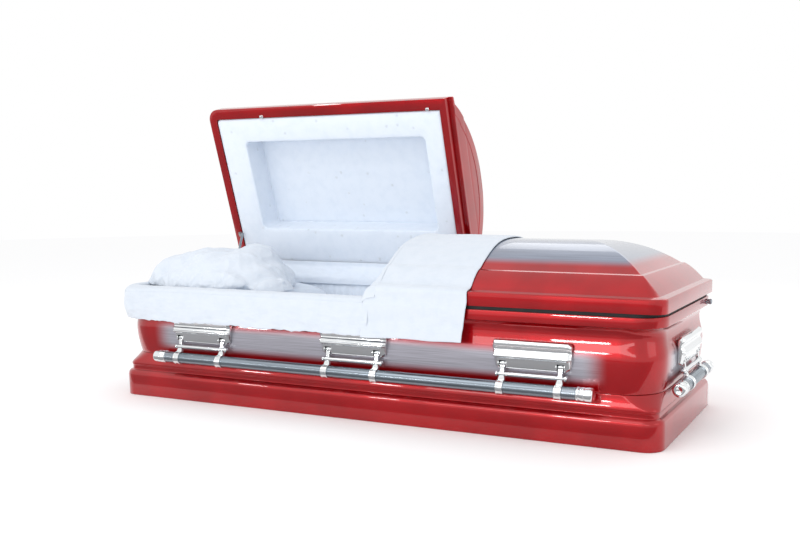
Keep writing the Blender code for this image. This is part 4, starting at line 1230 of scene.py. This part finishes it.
class CASKET_OT_throw_fall(bpy.types.Operator):
    """The throw's fall from the foot lid's cut end down into the bed"""

    bl_idname = "casket.throw_fall"
    bl_label = "Throw Fall"

    def execute(self, context):
        c = cloth()
        low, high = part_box("throw_fall")
        front, back = -(BASE_HIGH.y + 0.004), high.y
        top_x = FOOT_CUT_X + 0.0009
        on_ledge, on_bed = LEDGE_Z + 0.0245, low.z + 0.012
        front_run, more_at_back, fold_depth = 0.050, 0.085, 0.012

        def place(u, v):
            y = front + (back - front) * u
            inset = HALF_LID - abs(y)
            crown = RIM_Z + (crown_height(inset) if inset > 0 else 0.035) + c.gap + c.thickness
            over_ledge = smooth(ramp(y, -0.285, -0.330))
            foot = on_bed + (on_ledge - on_bed) * over_ledge
            run = front_run + more_at_back * smooth(ramp(y, -0.36, 0.14))
            angle = v * pi / 2
            x = top_x - run * sin(angle)
            z = foot + (crown - foot) * cos(angle) ** 0.85
            fold = two_folds((u * 2.2, v * 0.8, 0), 3.6, 1.5, (u * 3.0, v, 0), 7.5, 6.0)
            amount = fold_depth * sin(pi * min(1.0, v * 1.1)) * (1 - over_ledge * 0.85)
            x += amount * fold * sin(angle)
            z += amount * 0.6 * fold * cos(angle)
            over_edge = ramp(y, front + 0.016, front)
            return Vector((x, y - 0.007 * over_edge, z - 0.030 * over_edge ** 1.5))

        piece = cloth_grid(96, 80, place)
        finish_cloth(piece, "throw_fall_draped", "casket", ["throw_fall"])
        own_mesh(piece)
        return {"FINISHED"}


def lump_at(centre, radii):
    deselect()
    bpy.ops.mesh.primitive_uv_sphere_add(segments=32, ring_count=18, radius=1, enter_editmode=True)
    fit_edited(radii, centre)
    return leave_edit()


def displaced(piece, amount):
    """Moves each point along its normal by amount(place)."""
    moves = [v.co + v.normal * amount(v.co) for v in piece.data.vertices]
    for vertex, place in zip(piece.data.vertices, moves):
        vertex.co = place
    piece.data.update()


def swell(piece, cap, held, growth=0.05, pressure=4.0, frames=20):
    """Simulates the piece as closed cloth that has growth to spare and is filled with air, and keeps that.

    held(place) says which points stay where they are, and no point moves further than cap."""
    before = [vertex.co.copy() for vertex in piece.data.vertices]
    group = piece.vertex_groups.new(name="held")
    group.add([i for i, place in enumerate(before) if held(place)], 1.0, "REPLACE")
    deselect()
    piece.select_set(True)
    bpy.context.view_layer.objects.active = piece
    bpy.ops.object.modifier_add(type="CLOTH")
    modifier = piece.modifiers[-1]
    settings = modifier.settings
    settings.vertex_group_mass = group.name
    settings.quality = 6
    settings.mass = 0.25
    settings.tension_stiffness = settings.compression_stiffness = 12
    settings.shear_stiffness = 6
    settings.bending_stiffness = 0.4
    settings.use_pressure = True
    settings.uniform_pressure_force = pressure
    settings.shrink_min = -growth
    settings.effector_weights.gravity = 0
    modifier.collision_settings.use_collision = False
    modifier.point_cache.frame_start, modifier.point_cache.frame_end = 1, frames
    for frame_number in range(1, frames + 1):
        bpy.context.scene.frame_set(frame_number)
    bpy.ops.object.modifier_apply(modifier=modifier.name)
    piece.vertex_groups.clear()
    for vertex, start in zip(piece.data.vertices, before):
        move = vertex.co - start
        if move.length > cap:
            vertex.co = start + move.normalized() * cap
    bpy.context.scene.frame_set(1)
    piece.data.update()


class CASKET_OT_hinge_apron(bpy.types.Operator):
    """The loose cloth between the head lid's lining and the lining of the box"""

    bl_idname = "casket.hinge_apron"
    bl_label = "Hinge Apron"

    def execute(self, context):
        start_x, end_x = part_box("head_lid_lining")[0].x + 0.012, SPLIT_X - RABBET_DEPTH - 0.014
        edge_y = HALF_LID - LEDGE_SIDE
        rim_edge = OPENING @ Vector((0, edge_y + 0.001, RIM_Z - 0.0060))
        hem_edge = OPENING @ Vector((0, edge_y - 0.016, RIM_Z - 0.0045))
        inner_y = SHELL_HIGH.y - LEDGE_SIDE - 0.0115
        rises = ((0.001, -0.022), (0.0015, 0.0), (0.005, 0.008), (0.020, 0.022))
        section = [(inner_y + back, LEDGE_Z + rise, 0) for back, rise in rises]
        section += [(rim_edge.y - 0.006, rim_edge.z - 0.010, 0), (*rim_edge.yz, 0), (*hem_edge.yz, 0)]

        def place(u, v):
            point = along_path(section, v)
            x = start_x + (end_x - start_x) * u
            fold = two_folds((x * 1.4, v * 0.6, 0), 14.0, 3.0, (x * 2.2, v, 0), 24.0, 5.0)
            slack = 0.0035 * sin(pi * v) * (fold - 0.6)
            return Vector((x, point.x + slack * 0.7, point.y - slack * 0.7))

        piece = cloth_grid(190, 16, place)
        finish_cloth(piece, "hinge_apron", "casket", [], thickness=0.0022, painted_fill_light=1.25)
        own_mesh(piece)
        return {"FINISHED"}


class CASKET_OT_folded_throw(bpy.types.Operator):
    """The heap of folded cloth at the head end"""

    bl_idname = "casket.folded_throw"
    bl_label = "Folded Throw"

    def execute(self, context):
        low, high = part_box("folded_throw")
        floor = low.z
        stay_clear_x, stay_front = -1.014, -0.06
        heap = (
            (-0.780, -0.050, 0.020, 0.250, 0.225, 0.106), (-0.675, -0.040, 0.040, 0.100, 0.185, 0.110),
            (-0.590, -0.060, 0.002, 0.090, 0.165, 0.082), (-0.900, -0.080, 0.032, 0.120, 0.180, 0.090),
            (-0.972, -0.110, 0.034, 0.072, 0.160, 0.078), (-0.985, 0.030, 0.016, 0.052, 0.130, 0.056),
            (-0.800, -0.235, 0.014, 0.250, 0.074, 0.050), (-0.510, -0.130, -0.012, 0.075, 0.110, 0.055),
            (-0.800, 0.130, 0.020, 0.220, 0.075, 0.072), (-0.800, -0.090, 0.090, 0.130, 0.125, 0.050),
        )
        piece = join_pieces([lump_at((x, y, floor + z), radii) for x, y, z, *radii in heap])
        apply_modifier(piece, "REMESH", mode="VOXEL", voxel_size=0.0065)
        apply_modifier(piece, "SMOOTH", factor=0.6, iterations=16)

        def folds(place):
            swirl = Vector((place.x * 0.8 + place.y * 0.6, place.y * 0.8 - place.x * 0.6, place.z))
            broad = lumps(swirl, 8.0, 2.0) * 0.010
            ridge = (1 - abs(lumps((swirl.x * 0.6, swirl.y * 1.7, swirl.z * 1.2), 13.0, 5.0))) ** 4 * 0.006
            cross = (1 - abs(lumps((swirl.x * 1.8, swirl.y * 0.5, swirl.z), 10.0, 11.0))) ** 5 * 0.004
            fine = lumps(place, 42.0, 9.0) * 0.0012
            return broad + ridge + cross - 0.015 + fine

        displaced(piece, folds)
        swell(piece, 0.016, lambda place: place.z < floor + 0.006)
        for vertex in piece.data.vertices:
            if vertex.co.z < floor + 0.002:
                vertex.co.z = floor + 0.002 if vertex.co.x < -0.98 else max(vertex.co.z, floor - 0.010)
            vertex.co.z = min(vertex.co.z, high.z + 0.010)
            if vertex.co.y > stay_front:
                vertex.co.x = max(vertex.co.x, stay_clear_x)
        apply_modifier(piece, "SMOOTH", factor=0.4, iterations=2)
        refine(piece)
        place_cloth(piece, "folded_throw_heap", "casket", ["folded_throw"], 0.6, painted_fill_light=1.05)
        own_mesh(piece)
        return {"FINISHED"}


class CASKET_OT_lid_linings(bpy.types.Operator):
    """The padded border, recess and sprigged panel inside each lid"""

    bl_idname = "casket.lid_linings"
    bl_label = "Lid Linings"

    def execute(self, context):
        c, m = cloth(), metal()
        for name, side, low_cut in (("head", -1, SPLIT_X - RABBET_DEPTH), ("foot", 1, FOOT_CUT_X)):
            edge_cut = low_cut + side * 0.0295
            edge_side, edge_end = LEDGE_SIDE + 0.0015, LEDGE_END + 0.0015
            face_z = RIM_Z + 0.0048
            outer = lid_level(side, edge_side, edge_end, edge_cut, m.lid_corner - LEDGE_END, face_z)
            inner_corner = 0.022
            recess_cut = edge_cut + side * c.cut_band
            recess_end = side * (FOOT_LID_HIGH.x - edge_end - c.end_band)
            low_x, high_x = sorted((recess_cut, recess_end))
            half = HALF_LID - edge_side
            inner = Level(low_x, high_x, -(half - c.front_band), half - c.back_band,
                          inner_corner, inner_corner, face_z)

            def between(share, z):
                values = [a + (b - a) * share for a, b in zip(outer, inner)]
                return Level(*values[:6], z)

            levels = [outer._replace(z=face_z + 0.007)]
            for share in shares(8, 0):
                levels.append(between(share, face_z - c.border_puff * sin(pi * share) ** 0.7))
            depth = c.recess_depth - 0.004
            levels += [inner._replace(z=face_z + 0.006), inner._replace(z=face_z + depth * 0.5),
                       inner._replace(z=face_z + depth - 0.006)]
            reach = (inner.high_y - inner.low_y) / 2 - 0.0004
            for share in (0.0, 0.02, 0.06, 0.14, 0.3, 0.5, 0.75, 1.0):
                inset = reach * share
                radius = max(inner_corner - inset, 0.0002)
                z = face_z + depth - 0.010 * sin(share * pi / 2) + (0.004 if share == 0 else 0)
                levels.append(Level(inner.low_x + inset, inner.high_x - inset, inner.low_y + inset,
                                    inner.high_y - inset, radius, radius, z))
            piece = ring_skin(levels)
            middle_y = (inner.low_y + inner.high_y) / 2
            close_ridge(middle_y)
            turn_away_from(piece, (side * HALF_LID, 0, RIM_Z + 0.3))
            bevel(piece, 0.006, 3, 50)
            apply_modifier(piece, "SOLIDIFY", thickness=0.004, offset=-1.0)
            smooth_by_angle(piece, 70)
            if side < 0:
                shift_mesh(piece, OPENING)
            node = name + "_lid_lining"
            place_cloth(piece, node + "_sewn", name + "_lid", [node], 0.18, sprigs=True, painted_fill_light=1.20)
        return {"FINISHED"}


class CASKET_OT_bedding(bpy.types.Operator):
    """Mattress, pillow and the gathered lining round the inside of the box"""

    bl_idname = "casket.bedding"
    bl_label = "Bedding"

    def execute(self, context):
        self.mattress()
        self.pillow()
        self.side_lining()
        return {"FINISHED"}

    def mattress(self):
        low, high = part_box("mattress")
        block(high - low, (low + high) / 2, cuts=39)
        piece = leave_edit()
        edge, edge_drop, quilt_depth, side_pull = 0.03, 0.016, 0.010, 0.006
        tufts_x, tufts_y = 10, 3
        for vertex in piece.data.vertices:
            p = vertex.co
            side_x = min(1.0, (high.x - abs(p.x)) / edge)
            side_y = min(1.0, (high.y - abs(p.y)) / edge)
            crown = sqrt(max(0.0, side_x * (2 - side_x))) * sqrt(max(0.0, side_y * (2 - side_y)))
            if p.z > high.z - 0.001:
                u = (p.x / high.x + 1) / 2 * tufts_x
                w = (p.y / high.y + 1) / 2 * tufts_y
                quilt = abs(sin(pi * u)) ** 0.5 * abs(sin(pi * w)) ** 0.5
                sunk = 0.004 + edge_drop * (1 - crown) + quilt_depth * (1 - quilt)
                p.z = high.z - sunk + 0.001 * lumps(p, 20.0)
            else:
                level = (p.z - low.z) / (high.z - low.z)
                pull = side_pull * sin(pi * level) * (1 + 0.4 * lumps(p, 8.0))
                p.x -= pull * (1 if p.x > 0 else -1) * (abs(p.x) > high.x - 0.001)
                p.y -= pull * (1 if p.y > 0 else -1) * (abs(p.y) > high.y - 0.001)
        refine(piece)
        place_cloth(piece, "mattress_quilted", "casket", ["mattress"], 0.4, painted_fill_light=1.2)

    def pillow(self):
        low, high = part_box("pillow")
        centre, half, seam = (low + high) / 2, (high - low) / 2, low.z + 0.055
        deselect()
        bpy.ops.mesh.primitive_cube_add(size=2, enter_editmode=True)
        bpy.ops.mesh.subdivide(number_cuts=23)
        piece = leave_edit()
        for vertex in piece.data.vertices:
            u, v, w = vertex.co
            rim = (1 - abs(u) ** 4) * (1 - abs(v) ** 4)
            thick = max(rim, 0.0) ** 0.42
            side_pull = cos(pi * u / 2) ** 2 * (abs(v) > 0.99) + cos(pi * v / 2) ** 2 * (abs(u) > 0.99)
            pinch = 1 - 0.05 * side_pull
            z = seam + (0.98 * (high.z - seam) if w > 0 else seam - low.z) * w * thick
            z += (w > 0) * 0.004 * lumps((u * 2, v * 2, w), 3.0, 4.0) * thick
            z = min(max(z, low.z), high.z)
            vertex.co = Vector((centre.x + half.x * u * pinch, centre.y + half.y * v * pinch, z))
        swell(piece, 0.008, lambda place: place.z < low.z + 0.02, growth=0.03)
        for vertex in piece.data.vertices:
            vertex.co.z = max(vertex.co.z, low.z)
        refine(piece)
        place_cloth(piece, "pillow_stuffed", "casket", ["pillow"], 0.5, painted_fill_light=1.15)

    def side_lining(self):
        low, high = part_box("side_lining")
        gathers, gather_depth, puff_depth = 150, 0.006, 0.004
        bottom = low.z - 0.022
        half_x, half_y = high.x - 0.0075, high.y - 0.018
        radius = metal().body_corner - 0.02
        path = []
        for quarter, (side_x, side_y) in enumerate(((1, 1), (-1, 1), (-1, -1), (1, -1))):
            for share in shares(10, 0):
                angle = (quarter + share) * pi / 2
                path.append((side_x * (half_x - radius) + radius * cos(angle),
                             side_y * (half_y - radius) + radius * sin(angle), 0))
        path.append(path[0])

        def place(u, v):
            spot = along_path(path, u)
            wave = 0.5 + 0.5 * sin(2 * pi * gathers * u + 1.5 * lumps((u * 40, v * 2, 0), 1.0))
            puff = gather_depth * wave * sin(pi * min(max(v, 0.02), 0.98)) ** 0.6 + puff_depth * sin(pi * v)
            inward = Vector((-spot.x / half_x * (abs(spot.x) > half_x - radius),
                             -spot.y / half_y * (abs(spot.y) > half_y - radius), 0))
            if inward.length > 0:
                spot += inward.normalized() * puff
            return Vector((spot.x, spot.y, bottom + (high.z - 0.001 - bottom) * v))

        piece = cloth_grid(640, 10, place)
        merge_points()
        apply_modifier(piece, "SOLIDIFY", thickness=0.003, offset=0.0)
        smooth_by_angle(piece, 80)
        place_cloth(piece, "side_lining_gathered", "casket", ["side_lining"], 0.3, painted_fill_light=1.28)


# Stage

def aim(obj, target):
    obj.rotation_euler = (Vector(target) - obj.location).to_track_quat("-Z", "Y").to_euler()


def softbox(name, place, target, width, height, power):
    deselect()
    bpy.ops.object.light_add(type="AREA", location=place)
    lamp = bpy.context.object
    lamp.name = name
    lamp.data.shape = "RECTANGLE"
    lamp.data.size, lamp.data.size_y = width, height
    lamp.data.energy = power
    aim(lamp, target)
    lamp.visible_camera = False
    return lamp


class CASKET_OT_stage(bpy.types.Operator):
    """Camera, studio light and floor"""

    bl_idname = "casket.stage"
    bl_label = "Stage"

    def execute(self, context):
        s, c = context.scene.casket_stage, colours()
        self.camera(s)
        deselect()
        bpy.ops.mesh.primitive_circle_add(vertices=96, radius=14, fill_type="NGON", location=(0, 0, -0.0005))
        floor = bpy.context.object
        floor.name = "studio_floor"
        paint = Finish("studio floor", Roughness=0.9, Specular_IOR_Level=0.0)
        paint.set("Base Color", tuple(c.floor))
        floor.data.materials.append(paint.material)
        softbox("key", (-1.0, -2.4, 3.4), (0.2, 0, 0.3), 3.2, 2.0, s.key_power)
        softbox("front_strip", (0.6, -3.4, 1.05), (0.2, 0, 0.25), 4.2, 0.28, s.strip_power)
        softbox("back_top", (0.6, 2.6, 2.8), (0.3, 0.1, 0.5), 3.6, 1.2, s.key_power * 0.6)
        softbox("foot_side", (4.0, -0.6, 1.5), (0.9, 0, 0.3), 1.6, 1.6, s.strip_power * 0.6)
        lamps = ((-2.33, 0.20, 2.0), (-1.18, 0.20, 2.0), (0.22, 0.36, 3.5))
        for number, (x, width, power) in enumerate(lamps, 1):
            softbox(f"lamp_{number}", (x, -2.5, 0.66), (x * 0.45 + 0.94, -0.357, 0.28), width, 0.09, power)
        card_paint = Finish("grey card", Base_Color=(0.30, 0.30, 0.31), Roughness=0.9)
        deselect()
        bpy.ops.mesh.primitive_plane_add(size=2, location=(0.3, -3.6, 0.004))
        card = bpy.context.object
        card.name = "floor_card"
        card.scale = (4.6, 3.1, 1)
        card.data.materials.append(card_paint.material)
        card.visible_camera = card.visible_diffuse = card.visible_shadow = False
        world = bpy.data.worlds.new("white surroundings")
        context.scene.world = world
        world.use_nodes = True
        background = world.node_tree.nodes["Background"].inputs
        background["Color"].default_value = (1, 1, 1, 1)
        background["Strength"].default_value = s.sky
        context.scene.view_settings.view_transform = "Standard"
        return {"FINISHED"}

    def camera(self, s):
        """Sets the camera where the casket is seen as in the reference."""
        deselect()
        bpy.ops.object.camera_add()
        eye = bpy.context.object
        eye.name = "camera"
        right = Vector((cos(s.azimuth), sin(s.azimuth), 0))
        forward = Vector((-sin(s.azimuth) * cos(s.pitch), cos(s.azimuth) * cos(s.pitch), -sin(s.pitch)))
        up = right.cross(forward)
        rolled_right = right * cos(s.roll) + up * sin(s.roll)
        rolled_up = up * cos(s.roll) - right * sin(s.roll)
        turn = Matrix((rolled_right, rolled_up, -forward)).transposed().to_4x4()
        eye.matrix_world = Matrix.Translation(s.eye) @ turn
        eye.data.sensor_width = 36
        eye.data.lens = s.lens
        eye.data.shift_x, eye.data.shift_y = s.shift_x, s.shift_y
        bpy.context.scene.camera = eye


OPERATORS = (
    CASKET_OT_stage, CASKET_OT_base_moulding, CASKET_OT_body_shell, CASKET_OT_lids, CASKET_OT_handles,
    CASKET_OT_fittings, CASKET_OT_lid_linings, CASKET_OT_bedding, CASKET_OT_hinge_apron, CASKET_OT_overlay,
    CASKET_OT_folded_throw, CASKET_OT_throw_fall, CASKET_OT_foot_throw,
)
SETTINGS = {
    "casket_metal": CasketMetalSizes, "casket_handles": CasketHandleSizes, "casket_cloth": CasketClothSizes,
    "casket_colours": CasketColours, "casket_stage": CasketStageSettings,
}


class CASKET_PT_panel(bpy.types.Panel):
    """Lists the casket's pieces and settings"""

    bl_idname = "CASKET_PT_panel"
    bl_label = "Casket"
    bl_space_type = "VIEW_3D"
    bl_region_type = "UI"
    bl_category = "Casket"

    def draw(self, context):
        for operator in OPERATORS:
            self.layout.operator(operator.bl_idname)
        for name, group in SETTINGS.items():
            box = self.layout.box()
            box.label(text=group.__doc__)
            for setting in group.__annotations__:
                box.prop(getattr(context.scene, name), setting)


def register():
    for group in SETTINGS.values():
        bpy.utils.register_class(group)
    for name, group in SETTINGS.items():
        setattr(bpy.types.Scene, name, PointerProperty(type=group))
    for kind in (*OPERATORS, CASKET_PT_panel):
        bpy.utils.register_class(kind)


def unregister():
    for kind in reversed((*OPERATORS, CASKET_PT_panel)):
        bpy.utils.unregister_class(kind)
    for name, group in SETTINGS.items():
        delattr(bpy.types.Scene, name)
        bpy.utils.unregister_class(group)


def main():
    register()
    for operator in OPERATORS:
        getattr(bpy.ops.casket, operator.bl_idname.split(".")[1])()
    bpy.context.view_layer.update()


if __name__ == "__main__":
    main()
